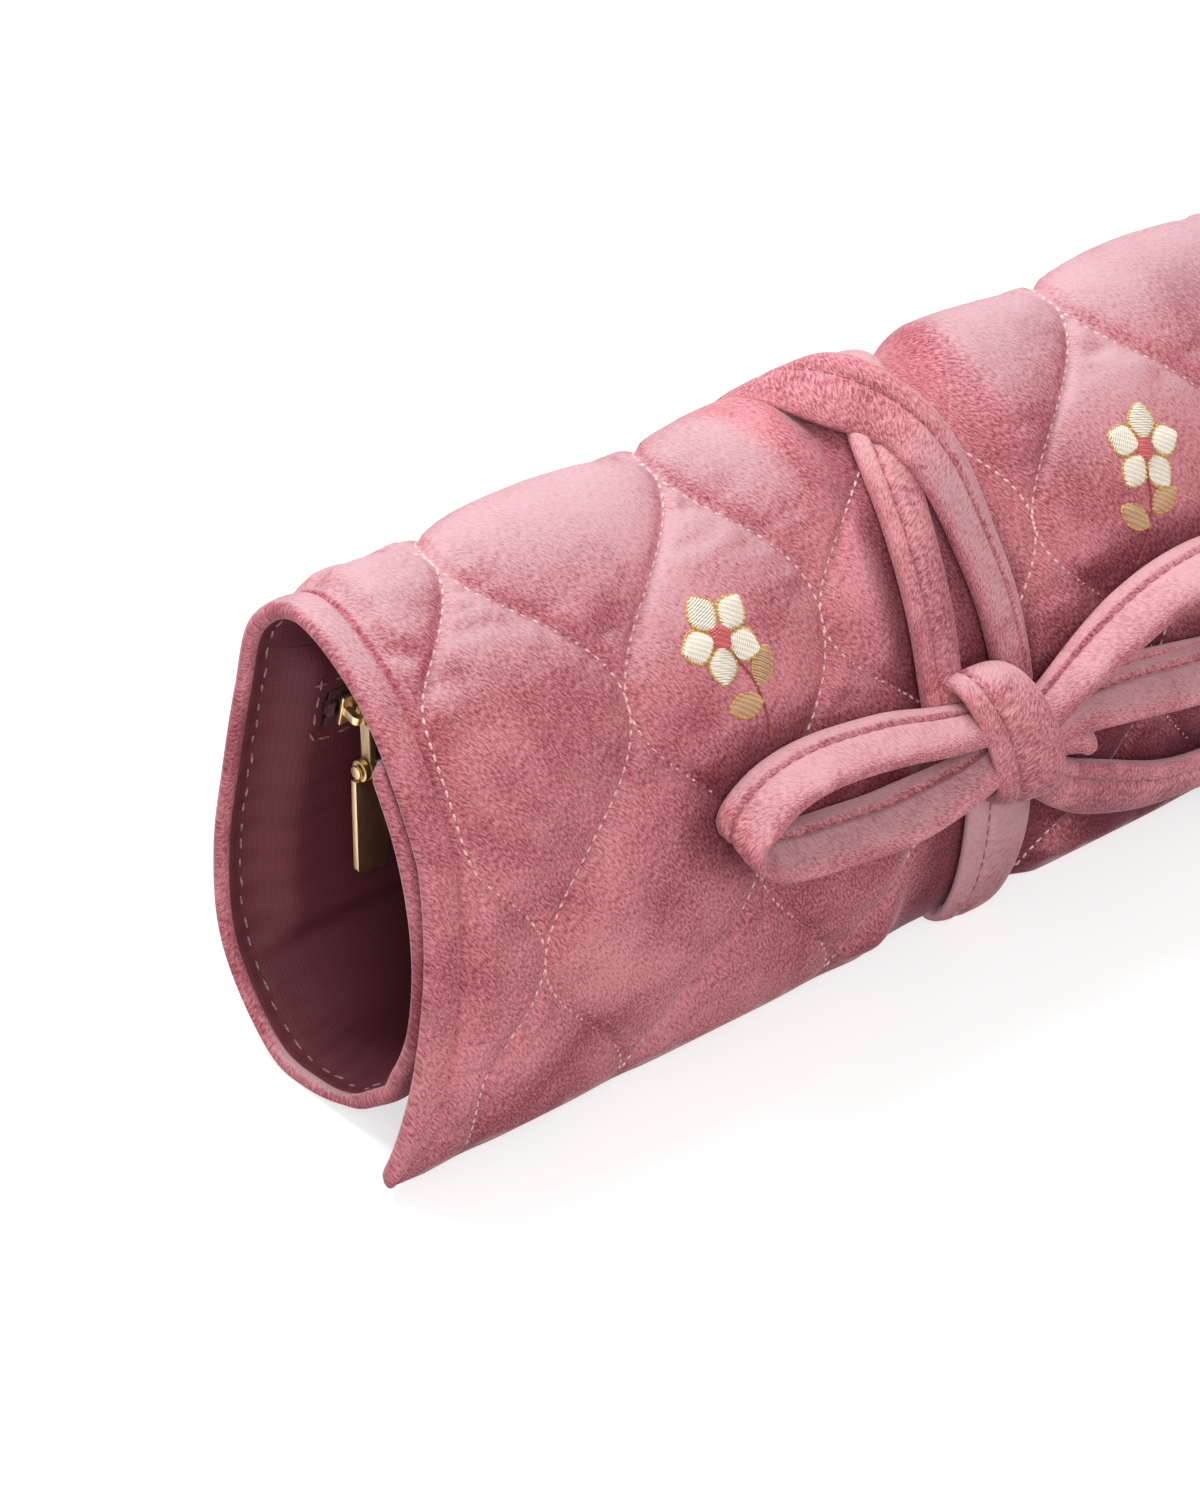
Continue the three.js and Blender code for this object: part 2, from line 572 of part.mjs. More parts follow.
function addSlider() {
  const halfX = SLIDER_LENGTH / 2;
  const halfY = SLIDER_WIDTH / 2;
  const upper = solid(boxAt(vec(-halfX, -halfY, PLATE_LOW), vec(halfX, halfY, PLATE_HIGH)));
  const lower = solid(boxAt(vec(-halfX, -halfY, -PLATE_HIGH), vec(halfX, halfY, -PLATE_LOW)));
  const postX = SLIDER_POST_LENGTH / 2;
  const postY = SLIDER_POST_THICKNESS / 2;
  const reach = (PLATE_LOW + PLATE_HIGH) / 2;
  const post = solid(boxAt(vec(-postX, -postY, -reach), vec(postX, postY, reach)));
  const body = upper.add(lower).add(post).add(solid(crownArch()));
  addPiece('slider', geometryOf(body), GOLD, zipGroup).position.x = SLIDER_REST_X;
}

// Pull: a link on the crown's bar, a pin and a flat tab, hanging straight down
const LINK_BORE = Math.hypot(CROWN_WIDTH, CROWN_BAR) / 2 + FIT_GAP;
const PIN_BORE = PIN_RADIUS + FIT_GAP;
const PIN_EYE = PIN_BORE + PIN_EYE_WALL;
const pullGroup = new THREE.Group();
pullGroup.position.copy(vec(SLIDER_REST_X, 0, CROWN_BAR_RISE).applyMatrix4(zipGroup.matrix));
model.add(pullGroup);

// An outline drawn in (Y, Z), extruded evenly to both sides of X = 0
function plateAlongX(shape, thickness) {
  const settings = { depth: thickness, bevelEnabled: false, curveSegments: ROUND_SIDES };
  const body = new THREE.ExtrudeGeometry(shape, settings);
  const turn = new THREE.Matrix4().makeBasis(vec(0, 1, 0), vec(0, 0, 1), vec(1, 0, 0));
  return body.translate(0, 0, -thickness / 2).applyMatrix4(turn);
}

function addLink() {
  const ring = LINK_BORE + LINK_RING_WALL;
  const ringAngle = Math.asin(LINK_NECK_HALF / ring);
  const eyeAngle = Math.asin(LINK_NECK_HALF / PIN_EYE);
  const plate = new THREE.Shape();
  plate.absarc(0, 0, ring, -Math.PI / 2 + ringAngle, 1.5 * Math.PI - ringAngle);
  plate.absarc(0, -LINK_LENGTH, PIN_EYE, Math.PI / 2 + eyeAngle, 2.5 * Math.PI - eyeAngle);
  const bore = (z, radius) => new THREE.Path().absarc(0, z, radius, 0, 2 * Math.PI);
  plate.holes.push(bore(0, LINK_BORE), bore(-LINK_LENGTH, PIN_BORE));
  addPiece('pull_link', plateAlongX(plate, LINK_THICKNESS), GOLD, pullGroup);
}

const EAR_LOW = LINK_THICKNESS / 2 + FIT_GAP;
const EAR_HIGH = EAR_LOW + TAB_EAR_WIDTH;

function addPin() {
  const inner = EAR_HIGH + FIT_GAP;
  const end = inner + PIN_HEAD_LENGTH;
  const profile = [
    [0, -end], [PIN_HEAD_RADIUS, -end], [PIN_HEAD_RADIUS, -inner], [PIN_RADIUS, -inner],
    [PIN_RADIUS, inner], [PIN_HEAD_RADIUS, inner], [PIN_HEAD_RADIUS, end], [0, end],
  ].map(([radius, along]) => new THREE.Vector2(radius, along));
  const pin = new THREE.LatheGeometry(profile, ROUND_SIDES).rotateZ(-Math.PI / 2);
  addPiece('link_pin', geometryOf(solid(pin)), GOLD, pullGroup).position.z = -LINK_LENGTH;
}

function addTab() {
  const half = TAB_WIDTH / 2;
  const top = -PIN_BORE;
  const plate = new THREE.Shape();
  plate.moveTo(-half, top);
  plate.lineTo(-half, -TAB_LENGTH + TAB_CORNER);
  plate.absarc(-half + TAB_CORNER, -TAB_LENGTH + TAB_CORNER, TAB_CORNER, Math.PI, 1.5 * Math.PI);
  plate.absarc(half - TAB_CORNER, -TAB_LENGTH + TAB_CORNER, TAB_CORNER, 1.5 * Math.PI, 2 * Math.PI);
  plate.lineTo(half, top);
  const settings = { depth: TAB_THICKNESS, bevelEnabled: false, curveSegments: 4 };
  const sheet = new THREE.ExtrudeGeometry(plate, settings);
  sheet.translate(0, 0, -TAB_THICKNESS / 2).rotateX(Math.PI / 2);
  const ear = new THREE.Shape().absarc(0, 0, PIN_EYE, 0, 2 * Math.PI);
  const earX = (EAR_LOW + EAR_HIGH) / 2;
  const ears = [-earX, earX].map((x) => plateAlongX(ear, TAB_EAR_WIDTH).translate(x, 0, 0));
  const bore = plateAlongX(new THREE.Shape().absarc(0, 0, PIN_BORE, 0, 2 * Math.PI), TAB_WIDTH);
  const slot = boxAt(vec(-EAR_LOW, -PIN_EYE, -PIN_EYE - FIT_GAP), vec(EAR_LOW, PIN_EYE, PIN_EYE));
  const headRoom = -PIN_HEAD_RADIUS - FIT_GAP;
  const shoulder = boxAt(vec(EAR_HIGH, -PIN_EYE, headRoom), vec(TAB_WIDTH, PIN_EYE, PIN_EYE));
  const cuts = [bore, slot, shoulder, shoulder.clone().rotateZ(Math.PI)];
  const whole = solid(sheet).add(solid(ears[0])).add(solid(ears[1]));
  const body = cuts.reduce((rest, cut) => rest.subtract(solid(cut)), whole);
  addPiece('pull_tab', geometryOf(body), GOLD, pullGroup).position.z = -LINK_LENGTH;
}

// Ring bar along the inner front layer, with its press stud and its sewn end
const barAxis = outline(RING_BAR);
const BAR_SEAT = LINING_BOTTOM - SNAP_SEAT_GAP;
const STUD_TOP = BAR_SEAT - SNAP_STUD_HEIGHT;
const SOCKET_TOP = STUD_TOP - FIT_GAP - SNAP_SOCKET_HEIGHT;
const BAR_SURFACE = SOCKET_TOP - FIT_GAP;

function addRingBar() {
  const straight = RING_BAR_LENGTH / 2 - RING_BAR_RADIUS;
  const end = spaced(0, Math.PI / 2, BAR_END_STEPS).slice(1)
    .map((a) => [RING_BAR_RADIUS * Math.cos(a), straight + RING_BAR_RADIUS * Math.sin(a)]);
  end.at(-1)[0] = 0;
  const side = [[RING_BAR_RADIUS, -straight], [RING_BAR_RADIUS, straight]];
  const profile = [...end.map(([r, x]) => [r, -x]).reverse(), ...side, ...end];
  const bar = new THREE.LatheGeometry(profile.map(([r, x]) => new THREE.Vector2(r, x)), ROUND_SIDES);
  bar.rotateZ(-Math.PI / 2);
  const place = onSheet(RING_BAR_CENTRE_X, RING_BAR, BAR_SURFACE - RING_BAR_RADIUS);
  addPiece('ring_bar', geometryOf(solid(bar)), VELVET).position.copy(place);
}

function snapDisc(low, high) {
  const disc = new THREE.CylinderGeometry(SNAP_RADIUS, SNAP_RADIUS, high - low, ROUND_SIDES);
  const turn = new THREE.Quaternion().setFromUnitVectors(vec(0, 1, 0), barAxis.out);
  const x = RING_BAR_CENTRE_X - RING_BAR_LENGTH / 2 + SNAP_FROM_BAR_END;
  const place = onSheet(x, RING_BAR, (low + high) / 2);
  return disc.applyQuaternion(turn).translate(place.x, place.y, place.z);
}

function addSnap() {
  addPiece('snap_stud', snapDisc(STUD_TOP, BAR_SEAT), STEEL);
  addPiece('snap_socket', snapDisc(SOCKET_TOP, STUD_TOP - FIT_GAP), STEEL);
  const right = RING_BAR_CENTRE_X + RING_BAR_LENGTH / 2 - RING_BAR_RADIUS;
  const xs = [right - ANCHOR_LENGTH, right];
  const rings = stations(RING_BAR - ANCHOR_WIDTH / 2, RING_BAR + ANCHOR_WIDTH / 2).map((b) => [
    ...xs.map((x) => onSheet(x, b, LINING_BOTTOM - FIT_GAP)),
    ...xs.toReversed().map((x) => onSheet(x, b, BAR_SURFACE + FIT_GAP)),
  ]);
  addPiece('ring_bar_anchor', ringSolid(rings), VELVET);
}

// Tie strap
function along(route, s) {
  const i = Math.max(1, route.findIndex(([at]) => at >= s));
  const [[s0, x0], [s1, x1]] = s > route.at(-1)[0] ? route.slice(-2) : [route[i - 1], route[i]];
  return x0 + (x1 - x0) * smooth((s - s0) / (s1 - s0));
}

// Where a strap rests: on the highest of the velvet under its middle and its edges
function tieSeat(x, b) {
  const under = [x - TIE_WIDTH / 2, x, x + TIE_WIDTH / 2];
  const swell = (at) => PUFF_HEIGHT * (1 - (1 - PUFF_UNDER_TIE) * waistShare(at)) - waist(at, b);
  return Math.max(...under.map(swell)) + TIE_GAP;
}

// One section of a strap that lies on the roll
function strapRing(x, b, rise) {
  const low = x - TIE_WIDTH / 2;
  const high = x + TIE_WIDTH / 2;
  const top = rise + TIE_THICKNESS;
  return [onSheet(low, b, rise), onSheet(high, b, rise), onSheet(high, b, top), onSheet(low, b, top)];
}

// The strand round the roll: from behind the knot over the top, down the back, along the base, up to the knot
function addBand() {
  const at = (b) => {
    const x = along(BAND_ROUTE, b - TIP);
    return strapRing(x, b, tieSeat(x, b));
  };
  const over = [...stations(TIP + BAND_TOP_START, HINGE), ...stations(HINGE, LOOP_LENGTH).slice(1)].map(at);
  const up = stations(TIP, TIP + BAND_FRONT_END).map(at);
  const rings = [...over, ...up];
  addPiece('tie_band', ringSolid(rings), VELVET);
}

// The strand sewn on behind, which crosses over the other on the top
function addBandEnd() {
  const rise = (s) => {
    const before = smooth((CROSSING_END - s) / CROSSING_RUN + 1);
    return before * smooth((s - CROSSING_START) / CROSSING_RUN);
  };
  const path = [...stations(TIP + BAND_END_START, HINGE), ...stations(HINGE, TIP + BAND_END_FINISH).slice(1)];
  const rings = path.map((b) => {
    const s = b - TIP;
    const x = along(BAND_END_ROUTE, s);
    return strapRing(x, b, tieSeat(x, b) + rise(s) * (TIE_THICKNESS + TIE_GAP));
  });
  addPiece('tie_band_end', ringSolid(rings), VELVET);
}

function addKnot() {
  const bandX = along(BAND_ROUTE, KNOT_HIGH);
  const low = tieSeat(bandX, TIP + KNOT_HIGH) + TIE_THICKNESS + 2 * TIE_GAP;
  const middleB = TIP + (KNOT_LOW + KNOT_HIGH) / 2;
  const middleRise = (low + KNOT_RISE) / 2;
  const shares = [0.72, 0.94, 1, 1, 0.94, 0.72];
  const corners = [
    [1, 0.4], [0.75, 1], [-0.75, 1], [-1, 0.4], [-1, -0.6], [-0.8, -1], [-0.4, -1], [0, -1], [0.4, -1],
    [0.8, -1], [1, -0.6],
  ];
  const rings = shares.map((share, i) => {
    const x = KNOT_LEFT + (KNOT_RIGHT - KNOT_LEFT) * i / (shares.length - 1);
    return corners.map(([b, rise]) => onSheet(
      x, middleB + share * b * (KNOT_HIGH - KNOT_LOW) / 2, middleRise + share * rise * (KNOT_RISE - low) / 2,
    ));
  });
  addPiece('tie_knot', ringSolid(rings), VELVET);
}

// A ribbon along a route on the flap; flatwise it lies on the velvet, edgewise it stands on it
function ribbon(route, steps, low, edgewise) {
  const curve = new THREE.CatmullRomCurve3(route.map(([x, s]) => vec(x, s, 0)));
  const acrossHalf = (edgewise ? TIE_THICKNESS : TIE_WIDTH) / 2;
  const high = low + (edgewise ? TIE_WIDTH : TIE_THICKNESS);
  const rings = curve.getSpacedPoints(steps).map((p, i) => {
    const t = curve.getTangentAt(i / steps);
    const side = vec(-t.y, t.x, 0).multiplyScalar(acrossHalf);
    const corner = (way, rise) => onSheet(p.x + way * side.x, TIP + p.y + way * side.y, rise);
    return [corner(-1, low), corner(1, low), corner(1, high), corner(-1, high)];
  });
  return ringSolid(rings);
}

function addBow() {
  const seat = PUFF_HEIGHT + TIE_GAP;
  addPiece('bow_loop_left', ribbon(LOOP_LEFT_ROUTE, LOOP_STEPS, seat, true), VELVET);
  addPiece('bow_loop_right', ribbon(LOOP_RIGHT_ROUTE, LOOP_STEPS, seat + LOOP_RIGHT_LIFT, true), VELVET);
  addPiece('tie_tail_lower', ribbon(TAIL_LOWER_ROUTE, TAIL_STEPS, seat, false), VELVET);
  addPiece('tie_tail_upper', ribbon(TAIL_UPPER_ROUTE, TAIL_STEPS, seat, false), VELVET);
}

addCovers();
addWadding();
addLinings();
addBindings();
addZip();
addSlider();
addLink();
addPin();
addTab();
addRingBar();
addSnap();
addBand();
addBandEnd();
addKnot();
addBow();

// The group's origin goes under the middle of the whole object
const reach = new THREE.Box3().setFromObject(model);
model.position.set(-(reach.min.x + reach.max.x) / 2, -(reach.min.y + reach.max.y) / 2, 0);
const jewelryRoll = new THREE.Group();
jewelryRoll.add(model);

export default jewelryRoll;
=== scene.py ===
# %% [markdown]
# # A quilted velvet jewelry roll, tied with a bow
#
# On the real object one long quilted sheet, velvet outside and satin inside, is wound up and held by
# a velvet strap. The solid parts come in as a fixed frame at their real size. This script dresses
# them: it repeats the few driving sizes of the wound sheet and makes every soft surface from one
# map of it, so that velvet, lining, stitches and strap fit each other.

# %% Load the frame
import json
import math

import bpy
import numpy as np
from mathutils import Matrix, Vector
from mathutils.kdtree import KDTree


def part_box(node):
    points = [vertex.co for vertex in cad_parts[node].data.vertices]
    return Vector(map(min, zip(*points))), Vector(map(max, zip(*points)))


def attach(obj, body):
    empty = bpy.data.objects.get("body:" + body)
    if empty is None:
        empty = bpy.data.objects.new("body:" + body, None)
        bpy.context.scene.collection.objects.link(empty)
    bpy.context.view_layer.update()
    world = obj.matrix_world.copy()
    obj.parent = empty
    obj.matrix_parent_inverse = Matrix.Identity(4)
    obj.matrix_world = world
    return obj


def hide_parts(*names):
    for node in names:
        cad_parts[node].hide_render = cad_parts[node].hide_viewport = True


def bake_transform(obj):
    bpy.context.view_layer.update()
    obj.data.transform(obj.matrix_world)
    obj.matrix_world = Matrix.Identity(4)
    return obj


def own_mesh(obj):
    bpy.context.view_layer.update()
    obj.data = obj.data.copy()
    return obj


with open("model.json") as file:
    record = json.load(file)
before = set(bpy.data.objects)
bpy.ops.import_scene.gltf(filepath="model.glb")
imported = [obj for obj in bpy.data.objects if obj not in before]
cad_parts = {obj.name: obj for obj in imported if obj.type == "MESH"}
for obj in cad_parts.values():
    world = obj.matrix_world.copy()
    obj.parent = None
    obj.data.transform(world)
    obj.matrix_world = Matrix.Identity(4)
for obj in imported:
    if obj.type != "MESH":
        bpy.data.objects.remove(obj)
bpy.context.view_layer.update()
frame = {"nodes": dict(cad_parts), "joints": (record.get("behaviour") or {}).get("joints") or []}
MM = 0.001

# %% [markdown]
# ## The wound outline
#
# Seen from its end, the roll is a lopsided oval. A few points with a smooth curve through them give
# it. Every place on the sheet is then told by the way walked round that curve, as on the real sheet.

# %% Outline of the section
ROLL_LENGTH = 240 * MM
ROLL_DEPTH = 62.3 * MM
ROLL_HEIGHT = 95.5 * MM
SECTION_SHAPE = [
    (0, -0.006), (-0.209, -0.003), (-0.417, 0.073), (-0.552, 0.23), (-0.594, 0.403),
    (-0.557, 0.581), (-0.449, 0.759), (-0.265, 0.921), (0, 1), (0.209, 0.921),
    (0.295, 0.759), (0.361, 0.581), (0.406, 0.387), (0.379, 0.183), (0.205, 0.023),
]
SECTION_TOP_POINT = 8
SPLINE_STEPS = 200
HALF = ROLL_LENGTH / 2


def spline(points, steps, closed=False):
    """Points on a smooth curve through every given point, with so many steps from one to the next."""
    points = np.asarray(points, float)
    if closed:
        ring = np.vstack([points[-1:], points, points[:2]])
    else:
        ring = np.vstack([2 * points[0] - points[1], points, 2 * points[-1] - points[-2]])
    t = np.linspace(0, 1, steps, endpoint=False)[:, None]
    spans = []
    for a, b, c, d in zip(ring[:-3], ring[1:-2], ring[2:-1], ring[3:]):
        spans.append(b + t / 2 * (c - a + t * (2 * a - 5 * b + 4 * c - d + t * (3 * b - a - 3 * c + d))))
    return np.vstack(spans + [ring[-2:-1]])


def lengths(points):
    """Way walked along a line of points, at each point."""
    steps = np.linalg.norm(np.diff(points, axis=0), axis=1)
    return np.concatenate([[0], np.cumsum(steps)])


section = spline(np.array(SECTION_SHAPE) * (ROLL_DEPTH, ROLL_HEIGHT), SPLINE_STEPS, closed=True)
section_way = lengths(section)
around = np.vstack([section[-2:-1], section, section[1:2]])
section_out = np.stack([around[:-2, 1] - around[2:, 1], around[2:, 0] - around[:-2, 0]], -1)
section_out /= np.linalg.norm(section_out, axis=1)[:, None]
LOOP = section_way[-1]
TOP = section_way[SECTION_TOP_POINT * SPLINE_STEPS]
print(f"once round the section: {LOOP / MM:.1f} mm, its top at {TOP / MM:.1f} mm")

# %% [markdown]
# ## The map of the sheet
#
# The sheet starts at the flap's free tip at the front, goes over the top, down the back, along the
# table and up again behind the flap. The flap is wound a little askew, stands off at its tip, and
# the strap draws everything in to a waist. One function takes a place on the sheet to its place in
# space, which is quicker and more even than bending a finished mesh.

# %% Places on the sheet
FLAP_TIP = 25 * MM
FLAP_STANDOFF = 7.3 * MM
FLAP_STANDOFF_RUN = 40 * MM
FLAP_SKEW = 8.5 * MM
FLAP_SKEW_RUN = 62 * MM
TUCK_FROM_BASE = 8 * MM
TUCK_RUN = 28 * MM
TUCK_LENGTH = 106 * MM
TURN_INSET = 7.2 * MM
TUCK_CLOSING = 1.9 * MM
TUCK_CLOSING_FROM = 50 * MM
TUCK_CLOSING_RUN = 45 * MM
HINGE_BEFORE_TOP = 14 * MM
HINGE_RISE = 3.1 * MM
WAIST_X = -2 * MM
WAIST_HALF = 13 * MM
WAIST_RUN = 9 * MM
WAIST_HALF_AT_TIP = 8 * MM
WAIST_DEPTH_AT_TIP = 0.4 * MM
WAIST_DEPTH = 1.2 * MM
WAIST_DEPTH_AT_BASE = 4.4 * MM
WAIST_BASE_REACH = 14 * MM
WAIST_BASE_RUN = 21 * MM
END_LIFT = 4.4 * MM
END_LIFT_AT = 15.5 * MM
END_LIFT_HALF = 11 * MM
END_BULGE = 2.0 * MM
END_BULGE_AT = 38 * MM
END_BULGE_HALF = 25 * MM
END_FROM = 50 * MM
END_RUN = 60 * MM
HINGE = TOP - HINGE_BEFORE_TOP
SHEET_END = LOOP + TUCK_LENGTH


def smooth(t):
    t = np.clip(t, 0, 1)
    return t * t * (3 - 2 * t)


def round_off(share):
    """Height of a quarter round, from 0 at its edge to 1."""
    return np.sqrt(1 - (1 - np.clip(share, 0, 1)) ** 2)


def inset(b):
    """How far the sheet lies inside the outline: more where it is tucked in, less at the flap's tip."""
    standoff = FLAP_STANDOFF * (1 - np.clip((b - FLAP_TIP) / FLAP_STANDOFF_RUN, 0, 1)) ** 2
    closing = TUCK_CLOSING * smooth((b - LOOP - TUCK_CLOSING_FROM) / TUCK_CLOSING_RUN)
    return TURN_INSET * smooth((b - LOOP - TUCK_FROM_BASE) / TUCK_RUN) - closing - standoff


def skew(b):
    return FLAP_SKEW * np.clip(1 - (b - FLAP_TIP) / FLAP_SKEW_RUN, 0, 1)


def waist_share(x, half=WAIST_HALF):
    return 1 - smooth((np.abs(x - WAIST_X) - half) / WAIST_RUN)


def waist(x, b):
    """How far the strap draws the sheet in, most where the roll stands on it."""
    from_base = np.maximum(0, np.abs(b - LOOP) - WAIST_BASE_RUN)
    at_base = 1 - smooth((from_base - WAIST_BASE_REACH) / WAIST_BASE_RUN)
    at_tip = 1 - smooth((np.abs(b - FLAP_TIP) - WAIST_BASE_REACH) / WAIST_BASE_RUN)
    wide = (WAIST_DEPTH + (WAIST_DEPTH_AT_BASE - WAIST_DEPTH) * at_base) * waist_share(x)
    return wide + WAIST_DEPTH_AT_TIP * at_tip * waist_share(x, WAIST_HALF_AT_TIP)


def towards_end(x):
    return smooth((np.abs(x) - END_FROM) / END_RUN)


def end_lift(x, b):
    """Towards its ends the front of the roll's base curls up off the table a little."""
    near = np.exp(-((b - LOOP - END_LIFT_AT) / END_LIFT_HALF) ** 2)
    return END_LIFT * near * towards_end(x)


def end_bulge(x, b):
    """There the back stands out instead."""
    return END_BULGE * np.exp(-((b - LOOP + END_BULGE_AT) / END_BULGE_HALF) ** 2) * towards_end(x)


def section_point(b, rise):
    """Place in the section (y, z) at arc length b, rise outwards from the velvet."""
    way = np.mod(b, LOOP)
    point = np.stack([np.interp(way, section_way, section[:, i]) for i in (0, 1)], -1)
    out = np.stack([np.interp(way, section_way, section_out[:, i]) for i in (0, 1)], -1)
    return point + out * (rise - inset(b))[..., None]


hinge_joint = next(j for j in frame["joints"] if j["name"] == "flap_open")
tape_low, tape_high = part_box("zip_tape_upper")
MIDDLE_X = (tape_low.x + tape_high.x) / 2
MIDDLE_Y = hinge_joint["pos_m"][1] - section_point(np.array(HINGE), np.array(HINGE_RISE))[0]


def over_roll(x, b, rise):
    """Place in space at x along the roll and b round it; nothing goes below the table."""
    x, b, rise = np.broadcast_arrays(np.asarray(x, float), b, rise)
    yz = section_point(b, rise)
    return np.stack([x + MIDDLE_X, yz[..., 0] + MIDDLE_Y, np.maximum(yz[..., 1], 0)], -1)


def on_sheet(u, b, rise):
    """Place in space of a point u across and b along the sheet, with the flap's lean and the waist."""
    x = u - skew(b)
    place = over_roll(x, b, rise - waist(x, b) + end_bulge(x, b))
    place[..., 2] += end_lift(x, b)
    return place


sheet_size = [round(side / MM) for side in (ROLL_LENGTH, SHEET_END - FLAP_TIP)]
print("sheet:", sheet_size, f"mm, middle at y {MIDDLE_Y / MM:.2f} mm")

# %% [markdown]
# ## Camera
#
# The camera stands where the photographer stood: to the left of the roll's end and above it, with a
# long lens. One point of the object whose place in the picture is known pins it sideways.

# %% Camera
PICTURE_WIDTH, PICTURE_HEIGHT = 1200, 1500
VIEW_AZIMUTH = math.radians(-39.6)
VIEW_ELEVATION = math.radians(33)
SENSOR = 36.0
LENS = 120.0
VIEW_DISTANCE = 833.3 * MM
PINNED_POINT = Vector((-HALF + MIDDLE_X, -9 * MM + MIDDLE_Y, 2.4 * MM))
PINNED_PIXEL = (345, 1110)


def add_object(name, data):
    thing = bpy.data.objects.new(name, data)
    bpy.context.scene.collection.objects.link(thing)
    return thing


def add_camera():
    forward = Vector((
        -math.sin(VIEW_AZIMUTH) * math.cos(VIEW_ELEVATION),
        math.cos(VIEW_AZIMUTH) * math.cos(VIEW_ELEVATION),
        -math.sin(VIEW_ELEVATION),
    ))
    right = forward.cross(Vector((0, 0, 1))).normalized()
    up = right.cross(forward)
    pixel = SENSOR / LENS / PICTURE_HEIGHT
    across = (PINNED_PIXEL[0] - PICTURE_WIDTH / 2) * pixel
    down = (PINNED_PIXEL[1] - PICTURE_HEIGHT / 2) * pixel
    camera = add_object("camera", bpy.data.cameras.new("camera"))
    camera.data.lens = LENS
    camera.data.sensor_width = SENSOR
    camera.location = PINNED_POINT - VIEW_DISTANCE * (forward + across * right - down * up)
    camera.rotation_mode = "QUATERNION"
    camera.rotation_quaternion = forward.to_track_quat("-Z", "Y")
    bpy.context.scene.camera = camera
    return camera


camera = add_camera()
print("camera at", [round(c, 3) for c in camera.location])

# %% [markdown]
# ## Helpers for materials
#
# Each finish is a Principled shader with its own small node tree. Two effects come back on several
# finishes, the pile of velvet and the weave of cloth, so each is a node group with named inputs.

# %% Node helpers
def feed(tree, socket, value):
    """Gives an input a plain value, or links it to another node's output."""
    if isinstance(value, bpy.types.NodeSocket):
        tree.links.new(value, socket)
    else:
        socket.default_value = value


def link_node(tree, kind, inputs=None, **settings):
    """A new node in a tree, with its settings, and its inputs set or linked by name."""
    node = tree.nodes.new(kind)
    for name, value in settings.items():
        setattr(node, name, value)
    for name, value in (inputs or {}).items():
        feed(tree, node.inputs[name], value)
    return node


def shader_group(name, inputs, outputs):
    """A shader node group with these named sockets, its tree, and its input and output nodes."""
    tree = bpy.data.node_groups.new(name, "ShaderNodeTree")
    for label, kind in inputs:
        tree.interface.new_socket(label, in_out="INPUT", socket_type=f"NodeSocket{kind}")
    for label, kind in outputs:
        tree.interface.new_socket(label, in_out="OUTPUT", socket_type=f"NodeSocket{kind}")
    return tree, tree.nodes.new("NodeGroupInput"), tree.nodes.new("NodeGroupOutput")


def group_node(tree, group, inputs):
    return link_node(tree, "ShaderNodeGroup", inputs, node_tree=group)


def math_node(tree, operation, first, second=0.0, clamp=False):
    node = link_node(tree, "ShaderNodeMath", {0: first, 1: second}, operation=operation, use_clamp=clamp)
    return node.outputs[0]


MIX_FACTOR, MIX_FIRST, MIX_SECOND = 0, 6, 7
MIX_RESULT = 2


def mix_colour(tree, factor, first, second, blend="MIX"):
    """A mix of two colours. The node has several sockets of each name, so they go by number."""
    inputs = {MIX_FACTOR: factor, MIX_FIRST: first, MIX_SECOND: second}
    node = link_node(tree, "ShaderNodeMix", inputs, data_type="RGBA", blend_type=blend)
    return node.outputs[MIX_RESULT]


def from_uv(tree):
    """Place on the sheet, which every soft mesh carries as its UV map."""
    return link_node(tree, "ShaderNodeUVMap", uv_map="sheet").outputs["UV"]


def paint(tree, shader, made, strength, depth):
    """Gives a shader the colour of a node group, and the bumps of its height."""
    bump = link_node(tree, "ShaderNodeBump", {
        "Height": made.outputs["Height"], "Strength": strength, "Distance": depth,
    })
    tree.links.new(made.outputs["Color"], shader.inputs["Base Color"])
    tree.links.new(bump.outputs["Normal"], shader.inputs["Normal"])


def new_material(name, **sockets):
    """A material with a Principled shader whose plain sockets are set by name."""
    material = bpy.data.materials.new(name)
    material.use_nodes = True
    shader = material.node_tree.nodes["Principled BSDF"]
    for label, value in sockets.items():
        shader.inputs[label.replace("_", " ")].default_value = value
    return material, material.node_tree, shader


def from_srgb(red, green, blue):
    """A colour as seen on a screen, 0 to 255, as the linear colour that a shader takes."""
    share = np.array([red, green, blue]) / 255
    linear = np.where(share <= 0.04045, share / 12.92, ((share + 0.055) / 1.055) ** 2.4)
    return (*linear.tolist(), 1.0)


print("colour check, mid grey:", [round(c, 3) for c in from_srgb(128, 128, 128)])
